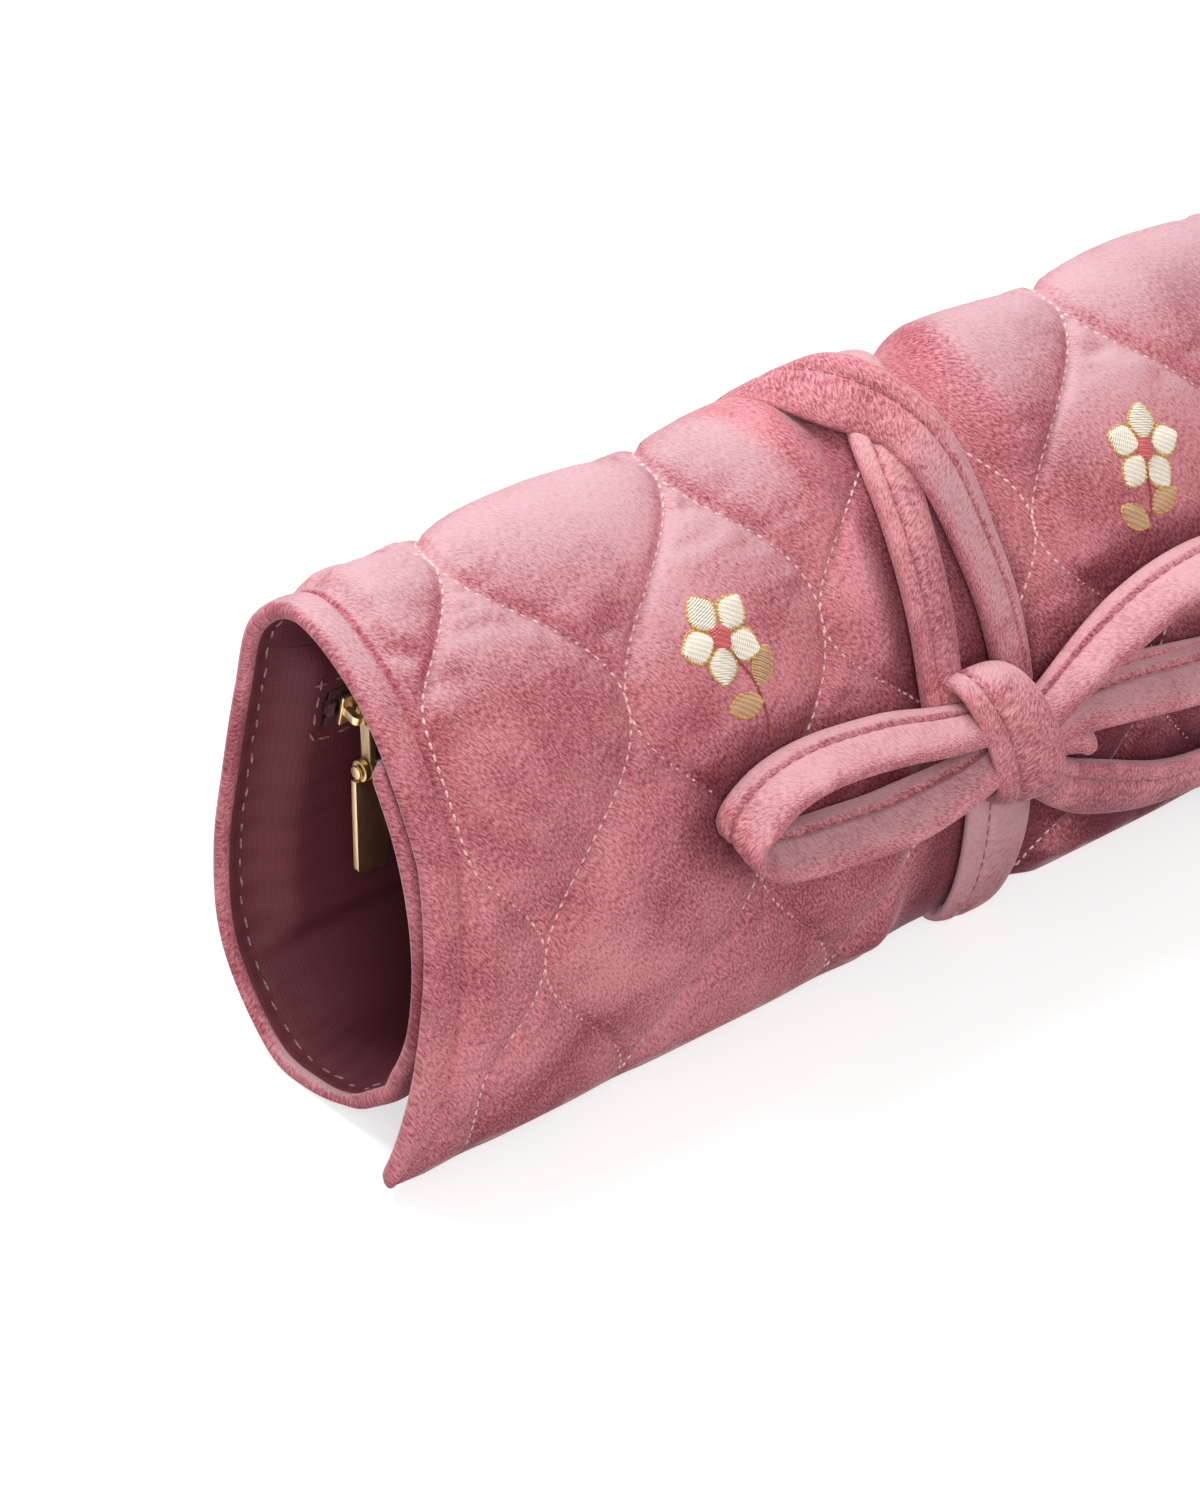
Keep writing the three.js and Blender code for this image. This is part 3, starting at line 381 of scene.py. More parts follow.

# %% [markdown]
# ## Velvet pile
#
# Velvet is a carpet of short upright threads. Where the pile has been stroked, patches look lighter
# or darker, and close up it has a fine streaky grain. Noises of several sizes give both. Where the roll
# faces up, its colour is painted paler as a painted highlight, and where it faces down it is painted
# darker as a painted shade, so each mesh carries an attribute that says which way its points face.
# The shader's sheen adds the glow on edges that turn away.

# %% Pile group and velvet materials
PILE_LEAN = 0.65
PILE_STREAK = 3.0
PILE_RUFFLE = 0.22
PATCH_WEIGHT = 1.5
MOTTLE_SHARE = 0.22
MOTTLE_WEIGHT = 0.6
STREAK_WEIGHT = 2.8
SPECK_SHARE = 0.6
SPECK_WEIGHT = 1.6
# Ranges of the facing value over which the painted highlight and the painted shade come in.
PALE_FACING = (0.5, 1.1, 0.93)
DARK_FACING = (-0.1, -1.3, 0.8)
SHEEN_TINT = (1.0, 0.74, 0.8, 1.0)
PILE_BUMP = 0.15 * MM
PILE_BUMP_STRENGTH = 0.7
PILE_GRAIN = 0.33 * MM
# Colour multiplied in as painted shade where the velvet faces down and beside the straps.
VELVET_SHADE = (0.28, 0.14, 0.18, 1.0)


def pile_group():
    tree, given, out = shader_group(
        "pile",
        [("Vector", "Vector"), ("Up", "Float"), ("Shade", "Color"), ("Deep", "Color"), ("Lit", "Color"),
         ("Pale", "Color"), ("Patch", "Float"), ("Grain", "Float")],
        [("Color", "Color"), ("Height", "Float")],
    )

    def noise(vector, size, detail, distortion=0.0):
        node = link_node(tree, "ShaderNodeTexNoise", {
            "Vector": vector, "Scale": math_node(tree, "DIVIDE", 1.0, size), "Detail": detail,
            "Roughness": 0.6, "Distortion": distortion,
        })
        return node.outputs["Fac"]

    def about_zero(value, weight):
        return math_node(tree, "MULTIPLY", math_node(tree, "SUBTRACT", value, 0.5), weight)

    place, patch, grain = (given.outputs[label] for label in ("Vector", "Patch", "Grain"))
    lying = link_node(tree, "ShaderNodeMapping", {
        "Vector": place, "Rotation": (0, 0, PILE_LEAN), "Scale": (1.0, PILE_STREAK, 1.0),
    }, vector_type="TEXTURE")
    streaks = noise(lying.outputs["Vector"], grain, 3.0)
    shades = (
        about_zero(noise(place, patch, 2.0, 0.6), PATCH_WEIGHT),
        about_zero(noise(place, math_node(tree, "MULTIPLY", patch, MOTTLE_SHARE), 2.0, 0.8), MOTTLE_WEIGHT),
        about_zero(streaks, STREAK_WEIGHT),
        about_zero(noise(place, math_node(tree, "MULTIPLY", grain, SPECK_SHARE), 2.0), SPECK_WEIGHT),
    )
    share = math_node(tree, "ADD", shades[0], 0.5)
    for shade in shades[1:]:
        share = math_node(tree, "ADD", share, shade)
    share = math_node(tree, "MINIMUM", math_node(tree, "MAXIMUM", share, 0.0), 1.0)
    # The facing value, made uneven by the noise, so that the painted highlight and shade have ragged edges.
    ruffled = math_node(tree, "ADD", given.outputs["Up"], about_zero(share, PILE_RUFFLE))

    def facing(low, high, most):
        """How far the pile faces between two bounds, up to a most."""
        node = link_node(tree, "ShaderNodeMapRange", {
            "Value": ruffled, "From Min": low, "From Max": high, "To Max": most,
        }, interpolation_type="SMOOTHSTEP")
        return node.outputs["Result"]

    colour = mix_colour(tree, share, given.outputs["Deep"], given.outputs["Lit"])
    # Painted highlight: paler where the velvet faces up. Painted shade: darker where it faces down or lies
    # beside a strap.
    colour = mix_colour(tree, facing(*PALE_FACING), colour, given.outputs["Pale"])
    colour = mix_colour(tree, facing(*DARK_FACING), colour, given.outputs["Shade"], "MULTIPLY")
    tree.links.new(colour, out.inputs["Color"])
    tree.links.new(streaks, out.inputs["Height"])
    return tree


PILE = pile_group()


def velvet(name, deep, lit, pale, patch):
    """Velvet of three tones, with patches of a given size; the pale tone is a painted highlight where it
    faces up.
    """
    material, tree, shader = new_material(
        name, Roughness=0.95, Sheen_Weight=0.5, Sheen_Roughness=0.3, Sheen_Tint=SHEEN_TINT,
        Specular_IOR_Level=0.1,
    )
    up = link_node(tree, "ShaderNodeAttribute", attribute_name="facing_up")
    pile = group_node(tree, PILE, {
        "Vector": from_uv(tree), "Up": up.outputs["Fac"], "Shade": VELVET_SHADE,
        "Deep": deep, "Lit": lit, "Pale": pale, "Patch": patch, "Grain": PILE_GRAIN,
    })
    paint(tree, shader, pile, PILE_BUMP_STRENGTH, PILE_BUMP)
    return material


# The third colour of each velvet is its painted highlight.
quilt_velvet = velvet(
    "quilt_velvet", from_srgb(148, 68, 81), from_srgb(222, 146, 154), from_srgb(200, 164, 170), 34 * MM,
)
strap_velvet = velvet(
    "strap_velvet", from_srgb(152, 74, 87), from_srgb(230, 158, 164), from_srgb(208, 161, 166), 18 * MM,
)
print("velvet finishes:", quilt_velvet.name, strap_velvet.name)

# %% [markdown]
# ## Weave, for lining, tape and thread
#
# Satin and zip tape are woven: two crossed sets of fine threads. Two wave textures at right angles
# give the height of the weave, and soft noise keeps the colour from being even.

# %% Weave group, lining and tape
WEAVE_CLOUD = 60.0
WEAVE_CLOUD_SHARE = 0.7
WEAVE_THREAD_SHARE = 0.3
WEAVE_BUMP_STRENGTH = 0.6


def weave_group():
    tree, given, out = shader_group(
        "weave",
        [("Vector", "Vector"), ("Color", "Color"), ("Shade", "Color"), ("Thread", "Float")],
        [("Color", "Color"), ("Height", "Float")],
    )
    scale = math_node(tree, "DIVIDE", 0.5, given.outputs["Thread"])
    waves = []
    for direction in ("X", "Y"):
        wave = link_node(tree, "ShaderNodeTexWave", {
            "Vector": given.outputs["Vector"], "Scale": math_node(tree, "DIVIDE", scale, math.pi),
            "Distortion": 0.4, "Detail": 1.0,
        }, bands_direction=direction)
        waves.append(wave.outputs["Fac"])
    height = math_node(tree, "MAXIMUM", waves[0], waves[1])
    cloud = link_node(tree, "ShaderNodeTexNoise", {
        "Vector": given.outputs["Vector"], "Scale": WEAVE_CLOUD, "Detail": 4.0,
    })
    share = math_node(tree, "MULTIPLY", cloud.outputs["Fac"], WEAVE_CLOUD_SHARE)
    threads = math_node(tree, "MULTIPLY", height, WEAVE_THREAD_SHARE)
    share = math_node(tree, "ADD", share, threads, clamp=True)
    colour = mix_colour(tree, share, given.outputs["Shade"], given.outputs["Color"])
    tree.links.new(colour, out.inputs["Color"])
    tree.links.new(height, out.inputs["Height"])
    return tree


WEAVE = weave_group()


def woven(name, colour, shade, thread, bump_depth, **sockets):
    material, tree, shader = new_material(name, **sockets)
    weave = group_node(tree, WEAVE, {
        "Vector": from_uv(tree), "Color": colour, "Shade": shade, "Thread": thread,
    })
    paint(tree, shader, weave, WEAVE_BUMP_STRENGTH, bump_depth)
    return material


lining_satin = woven(
    "lining_satin", from_srgb(112, 56, 63), from_srgb(84, 40, 46), 0.4 * MM, 0.05 * MM,
    Roughness=0.6, Specular_IOR_Level=0.2,
)
tape_weave = woven(
    "tape_weave", from_srgb(92, 46, 50), from_srgb(52, 22, 26), 0.7 * MM, 0.15 * MM, Roughness=0.85,
)
print("woven finishes:", lining_satin.name, tape_weave.name)

# %% [markdown]
# ## Thread and metal
#
# Sewing thread is twisted, so a wave along its length gives the ply. The fittings are plated in pale
# gold: a polished metal whose roughness varies a little where fingers rub it.

# %% Thread and metal materials
PLY = 0.35 * MM
RUBBED_SCALE = 420.0
RUBBED_ROUGHNESS = (0.28, 0.46)


def thread(name, colour, shade):
    material, tree, shader = new_material(
        name, Roughness=0.6, Sheen_Weight=0.3, Sheen_Roughness=0.4,
    )
    place = tree.nodes.new("ShaderNodeTexCoord")
    twist = link_node(tree, "ShaderNodeTexWave", {
        "Vector": place.outputs["Object"], "Scale": 0.5 / PLY / math.pi, "Distortion": 1.0,
    }, bands_direction="DIAGONAL")
    colour = mix_colour(tree, twist.outputs["Fac"], shade, colour)
    tree.links.new(colour, shader.inputs["Base Color"])
    return material


def plated(name, colour, dull):
    material, tree, shader = new_material(name, Metallic=1.0)
    place = tree.nodes.new("ShaderNodeTexCoord")
    rubbed = link_node(tree, "ShaderNodeTexNoise", {
        "Vector": place.outputs["Object"], "Scale": RUBBED_SCALE, "Detail": 3.0,
    })
    rough = link_node(tree, "ShaderNodeMapRange", {
        "Value": rubbed.outputs["Fac"], "To Min": RUBBED_ROUGHNESS[0], "To Max": RUBBED_ROUGHNESS[1],
    })
    tree.links.new(rough.outputs["Result"], shader.inputs["Roughness"])
    tree.links.new(mix_colour(tree, rubbed.outputs["Fac"], colour, dull), shader.inputs["Base Color"])
    return material


pale_thread = thread("pale_thread", from_srgb(240, 208, 205), from_srgb(214, 164, 164))
rose_thread = thread("rose_thread", from_srgb(176, 104, 114), from_srgb(140, 74, 84))
mauve_thread = thread("mauve_thread", from_srgb(168, 128, 130), from_srgb(130, 92, 96))
white_thread = thread("white_thread", from_srgb(246, 240, 228), from_srgb(226, 214, 196))
gold_thread = thread("gold_thread", from_srgb(222, 180, 92), from_srgb(176, 132, 52))
coral_thread = thread("coral_thread", from_srgb(222, 112, 112), from_srgb(190, 82, 86))
brown_thread = thread("brown_thread", from_srgb(160, 62, 66), from_srgb(126, 42, 48))
tape_thread = thread("tape_thread", from_srgb(96, 48, 52), from_srgb(58, 26, 30))
tan_thread = thread("tan_thread", from_srgb(206, 168, 128), from_srgb(178, 138, 100))
pale_gold = plated("pale_gold", from_srgb(252, 228, 184), from_srgb(242, 212, 160))
nickel = plated("nickel", from_srgb(205, 205, 202), from_srgb(180, 180, 176))
print("threads and metals ready")

# %% [markdown]
# ## Quilting
#
# The quilting lines run round the roll in waves. Each touches its neighbours at the wave's crests, so
# the cells between them have the pointed ogee shape that is seen on old brocades. The wadding
# swells each cell. Edges, the table side and the place under the strap stay flatter.

# %% Quilting lines and the swell between them
CELL_WIDTH = 46 * MM
CELL_HEIGHT = 71 * MM
QUILT_PHASE = 37.25 * MM
FIRST_LINE = -82.5 * MM
QUILT_LEAN = 8.5 * MM
STRAP_PULL = 5 * MM
STRAP_PULL_X = -20 * MM
STRAP_PULL_B = FLAP_TIP + 72 * MM
STRAP_PULL_WIDE = 38 * MM
STRAP_PULL_LONG = 16 * MM
QUILT_LINES = range(-2, 11)
RIM_WIDTH = 6.5 * MM
QUILT_FROM_RIM = 1.4 * MM
QUILT_TURN = 2.0 * MM
PUFF_HEIGHT = 3.3 * MM
PUFF_POWER = 0.6
PUFF_NECK = 0.8
PUFF_FADE = 8 * MM
PUFF_UNDER_TIE = 0.15
PUFF_INSIDE = 0.2


def quilt_line(k, b):
    wave = np.cos(2 * np.pi * (b - TOP + QUILT_PHASE) / CELL_HEIGHT)
    side = 1 if k % 2 == 0 else -1
    lean = QUILT_LEAN * np.clip((TOP - b) / (TOP - FLAP_TIP), 0, 1)
    x = FIRST_LINE + k * CELL_WIDTH / 2 + side * CELL_WIDTH / 4 * wave - lean
    limit = HALF - RIM_WIDTH - QUILT_FROM_RIM
    if FIRST_LINE + k * CELL_WIDTH / 2 > -limit:
        x = QUILT_TURN * np.logaddexp(0, (x + limit) / QUILT_TURN) - limit
    near = ((x - STRAP_PULL_X) / STRAP_PULL_WIDE) ** 2 + ((b - STRAP_PULL_B) / STRAP_PULL_LONG) ** 2
    return x - STRAP_PULL * np.exp(-near) + skew(b)


def beside(u, b):
    """The quilting lines to the left and to the right of each point."""
    lines = np.stack([quilt_line(k, b) for k in QUILT_LINES])
    index = np.clip((lines <= u).sum(0), 1, len(lines) - 1)[None]
    return np.take_along_axis(lines, index - 1, 0)[0], np.take_along_axis(lines, index, 0)[0]


def rounded_swell(u, b):
    left, right = beside(u, b)
    width = np.maximum(right - left, 0.01 * MM)
    share = np.clip((u - left) / width, 0, 1)
    return PUFF_HEIGHT * (4 * share * (1 - share)) ** PUFF_POWER * (width / CELL_WIDTH) ** PUFF_NECK


print(f"cells of {CELL_WIDTH / MM:.0f} by {CELL_HEIGHT / MM:.0f} mm, {PUFF_HEIGHT / MM:.1f} mm high")

# %% [markdown]
# ## Closed skins from a grid
#
# The sheet's pieces are grids: columns across the roll, rows round it. An outer and an inner grid
# meet at the sheet's edges, where stations lie closer together so that the turned edge is round. Rows
# of the velvet grid are pulled onto the quilting lines, which keeps the grooves sharp.

# %% Grid helpers
EDGE_STEPS = 6
SEAM_STEPS = np.array([0, 0.25, 0.6]) * MM
CORNER = 4 * MM
GRID = 1.0 * MM
GROOVE_STATIONS = np.linspace(-3, 3, 11)
LEAST_STEP = 0.12 * MM
ON_EDGE = 1e-9
SHARP_ANGLE = math.radians(75)


def stations(low, high, step, ends, edge_round):
    """Grid stations from low to high; an end is a rounded edge or a seam to the next piece."""
    turned = edge_round * (1 - np.cos(np.linspace(0, np.pi / 2, EDGE_STEPS)))
    lead = {"edge": turned, "seam": SEAM_STEPS}
    first = low + lead[ends[0]]
    last = high - lead[ends[1]][::-1]
    count = int(round((last[0] - first[-1]) / step))
    return np.concatenate([first, np.linspace(first[-1], last[0], count + 1)[1:-1], last])


def finer(columns, places):
    """Adds closely spaced stations round some places, for a narrow groove."""
    extra = np.concatenate([place + GROOVE_STATIONS * RIM_GROOVE_HALF for place in places])
    columns = np.sort(np.concatenate([columns, extra]))
    apart = np.concatenate([[True], np.diff(columns) > LEAST_STEP])
    apart[-1] = True
    return columns[apart]


def sheet_grid(columns, rows, half, tip, end):
    """Sheet places of a grid with rounded corners, and each one's distance from the nearest edge."""
    u, b = np.meshgrid(columns, rows, indexing="ij")
    from_side = half - np.abs(u)
    from_end = np.minimum(b - tip, end - b)
    edge = np.minimum(from_side, from_end)
    p = np.clip(CORNER - from_side, 0, None)
    q = np.clip(CORNER - from_end, 0, None)
    inwards = 1 - np.maximum(p, q) / np.maximum(np.hypot(p, q), ON_EDGE)
    towards = np.where(b - tip < end - b, 1, -1)
    return u - np.sign(u) * p * inwards, b + towards * q * inwards, np.where(edge < ON_EDGE, 0, edge)


def snap_to_lines(u, b, edge, margin):
    """Pulls the nearest grid point of every row onto each quilting line."""
    for k in QUILT_LINES:
        gap = np.abs(u - quilt_line(k, b))
        nearest = gap.argmin(0)
        for row, column in enumerate(nearest):
            if gap[column, row] < GRID and edge[column, row] > margin:
                u[column, row] = quilt_line(k, b[column, row])
    return u


def add_mesh(name, points, faces, places, material):
    """A mesh object with a UV map of sheet places, smooth shaded."""
    mesh = bpy.data.meshes.new(name)
    mesh.from_pydata(points.tolist(), [], faces)
    uv = mesh.uv_layers.new(name="sheet")
    corner = np.zeros(len(mesh.loops), np.int32)
    mesh.loops.foreach_get("vertex_index", corner)
    uv.data.foreach_set("uv", places[corner].astype(np.float32).ravel())
    mesh.shade_smooth()
    mesh.set_sharp_from_angle(angle=SHARP_ANGLE)
    mesh.materials.append(material)
    return add_object(name, mesh)


def keep_facing(thing, painted_light_shift=0.0):
    """Keeps on each point how far it faces up, for the velvet's painted highlight and shade; a shift up
    gives more painted highlight.
    """
    normals = np.zeros(len(thing.data.vertices) * 3, np.float32)
    thing.data.vertex_normals.foreach_get("vector", normals)
    facing = thing.data.attributes.new("facing_up", "FLOAT", "POINT")
    facing.data.foreach_set("value", (normals.reshape(-1, 3)[:, 2] + painted_light_shift).astype(np.float32))
    return thing


def quads(grid):
    """Four-sided faces between the points of a grid of point numbers."""
    return np.stack([grid[:-1, :-1], grid[1:, :-1], grid[1:, 1:], grid[:-1, 1:]], -1).reshape(-1, 4)


def signed_volume(points, faces):
    total = 0.0
    for face in faces:
        a = points[face[0]]
        for i, j in zip(face[1:-1], face[2:]):
            total += np.dot(a, np.cross(points[i], points[j]))
    return total


def outwards(points, faces):
    """The same faces, all turned round if they look into the body."""
    return [face[::-1] for face in faces] if signed_volume(points, faces) < 0 else faces


def closed_sheet(name, outer, inner, edge, places, seam_row, material):
    """One closed skin from two grids that meet where edge is 0, capped along the row at the seam."""
    columns, rows = edge.shape
    top = np.arange(columns * rows).reshape(columns, rows)
    apart = edge > 0
    below = top.copy()
    below[apart] = columns * rows + np.arange(apart.sum())
    points = np.vstack([outer.reshape(-1, 3), inner[apart]])
    flat = np.vstack([places.reshape(-1, 2), places[apart]])
    faces = quads(top).tolist() + quads(below)[:, ::-1].tolist()
    for i in range(columns - 1 if seam_row is not None else 0):
        ring = [top[i, seam_row], top[i + 1, seam_row], below[i + 1, seam_row], below[i, seam_row]]
        ring = ring if seam_row == 0 else ring[::-1]
        faces.append([int(v) for k, v in enumerate(ring) if v not in ring[:k]])
    return add_mesh(name, points, outwards(points, faces), flat, material)


print(f"grid of {GRID / MM:.1f} mm")

# %% [markdown]
# ## Wadding that swells
#
# Between the sewing lines the wadding pushes the velvet up. A cloth simulation gives that shape: a flat
# sheet, pinned where it is sewn and cut a little large, is blown up by a slight pressure. Its heights
# are then read like a map by the velvet.

# %% Cloth simulation of the swell
SIM_STEP = 1.6 * MM
SIM_SIZE = 10
SIM_FRAMES = 16
SIM_PRESSURE = 6.0
SIM_SLACK = -0.06
SIM_BENDING = 0.3
SIM_HELD = 0.55 * SIM_STEP
SIM_HIGHEST = 98
GROOVE_HALF = 1.1 * MM
FULLNESS = 0.45


def blown_heights(u, b, held):
    """Heights of a flat sheet after a short cloth simulation, pinned where it is held."""
    points = np.stack([u, b, 0 * u], -1).reshape(-1, 3) * SIM_SIZE
    grid = np.arange(u.size).reshape(u.shape)
    sheet = add_mesh("blown_sheet", points, quads(grid).tolist(), points[:, :2], quilt_velvet)
    sheet.vertex_groups.new(name="sewn").add(np.flatnonzero(held.ravel()).tolist(), 1.0, "REPLACE")
    cloth = sheet.modifiers.new("cloth", "CLOTH")
    cloth.settings.vertex_group_mass = "sewn"
    cloth.settings.use_pressure = True
    cloth.settings.uniform_pressure_force = SIM_PRESSURE
    cloth.settings.shrink_min = SIM_SLACK
    cloth.settings.bending_stiffness = SIM_BENDING
    cloth.settings.effector_weights.gravity = 0
    cloth.collision_settings.use_collision = False
    for step in range(1, SIM_FRAMES + 1):
        bpy.context.scene.frame_set(step)
    graph = bpy.context.evaluated_depsgraph_get()
    blown = bpy.data.meshes.new_from_object(sheet.evaluated_get(graph))
    place = np.zeros(u.size * 3)
    blown.vertices.foreach_get("co", place)
    bpy.data.objects.remove(sheet)
    bpy.data.meshes.remove(blown)
    bpy.context.scene.frame_set(1)
    return place.reshape(*u.shape, 3)[..., 2] / SIM_SIZE


def simulated_swell():
    """Columns, rows and heights of the blown sheet, with its highest cells at the height of a puff."""
    columns = np.arange(-HALF, HALF + SIM_STEP, SIM_STEP)
    rows = np.arange(FLAP_TIP, SHEET_END + SIM_STEP, SIM_STEP)
    u, b = np.meshgrid(columns, rows, indexing="ij")
    left, right = beside(u, b)
    sewn = np.minimum(u - left, right - u) < SIM_HELD
    held = sewn | (HALF - np.abs(u) < RIM_WIDTH) | (b < rows[1]) | (b > rows[-2])
    heights = blown_heights(u, b, held)
    return columns, rows, heights * PUFF_HEIGHT / np.percentile(heights, SIM_HIGHEST)


def read_map(columns, rows, values, u, b):
    """Value of a grid at any place on it, in between its points too."""
    i = np.clip((u - columns[0]) / (columns[1] - columns[0]), 0, len(columns) - 1.001)
    j = np.clip((b - rows[0]) / (rows[1] - rows[0]), 0, len(rows) - 1.001)
    p, q = i.astype(int), j.astype(int)
    s, t = i - p, j - q
    near = values[p, q] * (1 - t) + values[p, q + 1] * t
    far = values[p + 1, q] * (1 - t) + values[p + 1, q + 1] * t
    return near * (1 - s) + far * s


SWELL = simulated_swell()


def swell(u, b):
    if SWELL is None:
        return rounded_swell(u, b)
    left, right = beside(u, b)
    from_line = np.minimum(u - left, right - u)
    full = PUFF_HEIGHT * (np.maximum(read_map(*SWELL, u, b), 0) / PUFF_HEIGHT) ** FULLNESS
    return full * (1 - np.exp(-(from_line / GROOVE_HALF) ** 2))


def puff(u, b):
    """Height of the quilt: lower near the table, on the inside and under the strap."""
    from_base = np.abs(b - LOOP) - TUCK_RUN
    inside = np.where(b > LOOP, PUFF_INSIDE, 1)
    tied = 1 - (1 - PUFF_UNDER_TIE) * waist_share(u - skew(b))
    return swell(u, b) * smooth(from_base / PUFF_FADE) * inside * tied


if SWELL is not None:
    print(f"blown sheet: {SWELL[2].size} points, up to {SWELL[2].max() / MM:.1f} mm high")

# %% [markdown]
# ## Velvet cover
#
# The cover is a padded sheet: swollen velvet outside, a turned edge all round that is set off by a
# sewn groove, and a plain inner side that the lining hides. It is made in two pieces that meet
# behind the top, because the flap bends away and the rest stays.

# %% Velvet of the flap and of the roll
SHEET_THICKNESS = 4.2 * MM
EDGE_THICKNESS = 2.8 * MM
EDGE_ROUND = EDGE_THICKNESS / 2
EDGE_RUN = 12 * MM
EDGE_LIP = 2.2 * MM
RIM_AT_TIP = 0.4
RIM_TIP_RUN = 22 * MM
RIM_RISE = 0.5 * MM
RIM_GROOVE = 1.1 * MM
RIM_GROOVE_HALF = 0.42 * MM
RIM_FADE = 5 * MM
END_PLAIN = 1.0 * MM
END_FADE = 7 * MM
SCALLOP = 1.1 * MM
SCALLOP_HALF = 6 * MM
SCALLOP_RUN = 14 * MM
LINING_SINK = 0.8 * MM
LINING_SINK_RUN = 0.6 * MM
SEAM = TOP + 24 * MM
BLEND_HALF = 12 * MM
blend_start = over_roll(0, np.array(HINGE + BLEND_HALF), np.array(0.0)).tolist()
blend_end = over_roll(0, np.array(HINGE - BLEND_HALF), np.array(0.0)).tolist()


def turned_edge(edge):
    """Half thickness of the sheet near its edge, where the velvet turns over."""
    return EDGE_ROUND * round_off(edge / EDGE_ROUND)


def from_ends(b):
    return np.minimum(b - FLAP_TIP, SHEET_END - b)


def rim_width(b):
    """The turned edge is narrower at the flap's corners, where the seam runs out."""
    return RIM_WIDTH * (RIM_AT_TIP + (1 - RIM_AT_TIP) * smooth(from_ends(b) / RIM_TIP_RUN))


def velvet_rise(u, b, edge):
    side = HALF - np.abs(u)
    width = rim_width(b)
    rim = RIM_RISE * np.sin(np.pi * np.clip(side / width, 0, 1))
    groove = RIM_GROOVE * np.exp(-((side - width) / RIM_GROOVE_HALF) ** 2)
    padding = puff(u, b) * smooth((side - width) / RIM_FADE) * smooth((from_ends(b) - END_PLAIN) / END_FADE)
    return turned_edge(edge) - EDGE_ROUND + rim - groove + padding


def sheet_depth(edge):
    """Thickness of the whole sheet, which is thinner where its seam holds the edge flat."""
    return EDGE_THICKNESS + (SHEET_THICKNESS - EDGE_THICKNESS) * smooth((edge - EDGE_LIP) / EDGE_RUN)


def backing_rise(edge):
    under_lining = LINING_SINK * smooth((edge - EDGE_LIP) / LINING_SINK_RUN)
    return EDGE_ROUND - turned_edge(edge) - sheet_depth(edge) + under_lining


def scallop(u, b):
    """The quilting draws the flap's end in a little where a sewing line meets it."""
    left, right = beside(u, b)
    near = np.exp(-(np.minimum(u - left, right - u) / SCALLOP_HALF) ** 2)
    return SCALLOP * near * (1 - smooth((b - FLAP_TIP) / SCALLOP_RUN))


def carry(piece, body):
    """Pieces of the flap get their place baked into their mesh; the rest is attached to the roll."""
    if body == "flap":
        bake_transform(piece)
    else:
        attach(piece, "roll")


def velvet_piece(name, low, high, ends, seam_row):
    columns = stations(-HALF, HALF, GRID, ("edge", "edge"), EDGE_ROUND)
    columns = finer(columns, [-HALF + RIM_WIDTH, HALF - RIM_WIDTH])
    rows = stations(low, high, GRID, ends, EDGE_ROUND)
    tip = low if ends[0] == "edge" else -np.inf
    end = high if ends[1] == "edge" else np.inf
    u, b, edge = sheet_grid(columns, rows, HALF, tip, end)
    u = snap_to_lines(u, b, edge, RIM_WIDTH)
    along = b + scallop(u, b)
    outer = on_sheet(u, along, velvet_rise(u, b, edge))
    inner = on_sheet(u, along, backing_rise(edge))
    piece = closed_sheet(name, outer, inner, edge, np.stack([u, b], -1), seam_row, quilt_velvet)
    return keep_facing(piece)


velvet_flap = velvet_piece("velvet_flap", FLAP_TIP, SEAM, ("edge", "seam"), -1)
velvet_roll = velvet_piece("velvet_roll", SEAM, SHEET_END, ("seam", "edge"), 0)
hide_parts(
    "flap_cover", "flap_wadding",
    "flap_binding_left", "flap_binding_right", "flap_end_binding",
)
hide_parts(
    "roll_cover", "roll_wadding",
    "roll_binding_left", "roll_binding_right", "inner_end_binding",
)
for piece, body in ((velvet_flap, "flap"), (velvet_roll, "roll")):
    carry(piece, body)
    print(piece.name, len(piece.data.polygons), "faces")

# %% [markdown]
# ## Lining
#
# The satin lining is sewn down just inside the turned edge. Its thread pulls small puckers into it,
# and it stands off over the zip pocket, with a sunk window for the zip.

# %% Lining of the flap and of the roll
LINING_THICKNESS = 0.6 * MM
LINING_FROM_EDGE = 1.9 * MM
LINING_STITCH = 4.4 * MM
PUCKER_PITCH = 6.5 * MM
PUCKER_DEPTH = 0.35 * MM
PUCKER_REACH = 9 * MM
PUCKER_WOBBLE = 2.2
PUCKER_WOBBLE_ACROSS = 17 * MM
PUCKER_WOBBLE_ALONG = 23 * MM
FOLD_DEPTH = 0.9 * MM
FOLD_PITCH = 27 * MM
FOLD_SLANT = (0.8, 0.6)
FOLD_WOBBLE = 1.4
FOLD_WOBBLE_ACROSS = 31 * MM
FOLD_WOBBLE_ALONG = 19 * MM
STITCH_PULL = 0.35 * MM
STITCH_PULL_HALF = 0.7 * MM
ZIP = TOP + 37.5 * MM
ZIP_HALF = 105.4 * MM
POCKET_DEPTH = 3.8 * MM
POCKET_HALF = ZIP_HALF + 2 * MM
POCKET_RAMP = 7 * MM
POCKET_TOP = ZIP - 9 * MM
POCKET_FOOT = ZIP + 48 * MM
POCKET_STEP = 6.5 * MM
WINDOW_HALF = 4.5 * MM
WINDOW_SINK = 1.7 * MM
WINDOW_WALL = 0.7 * MM
WINDOW_END = 0.3 * MM


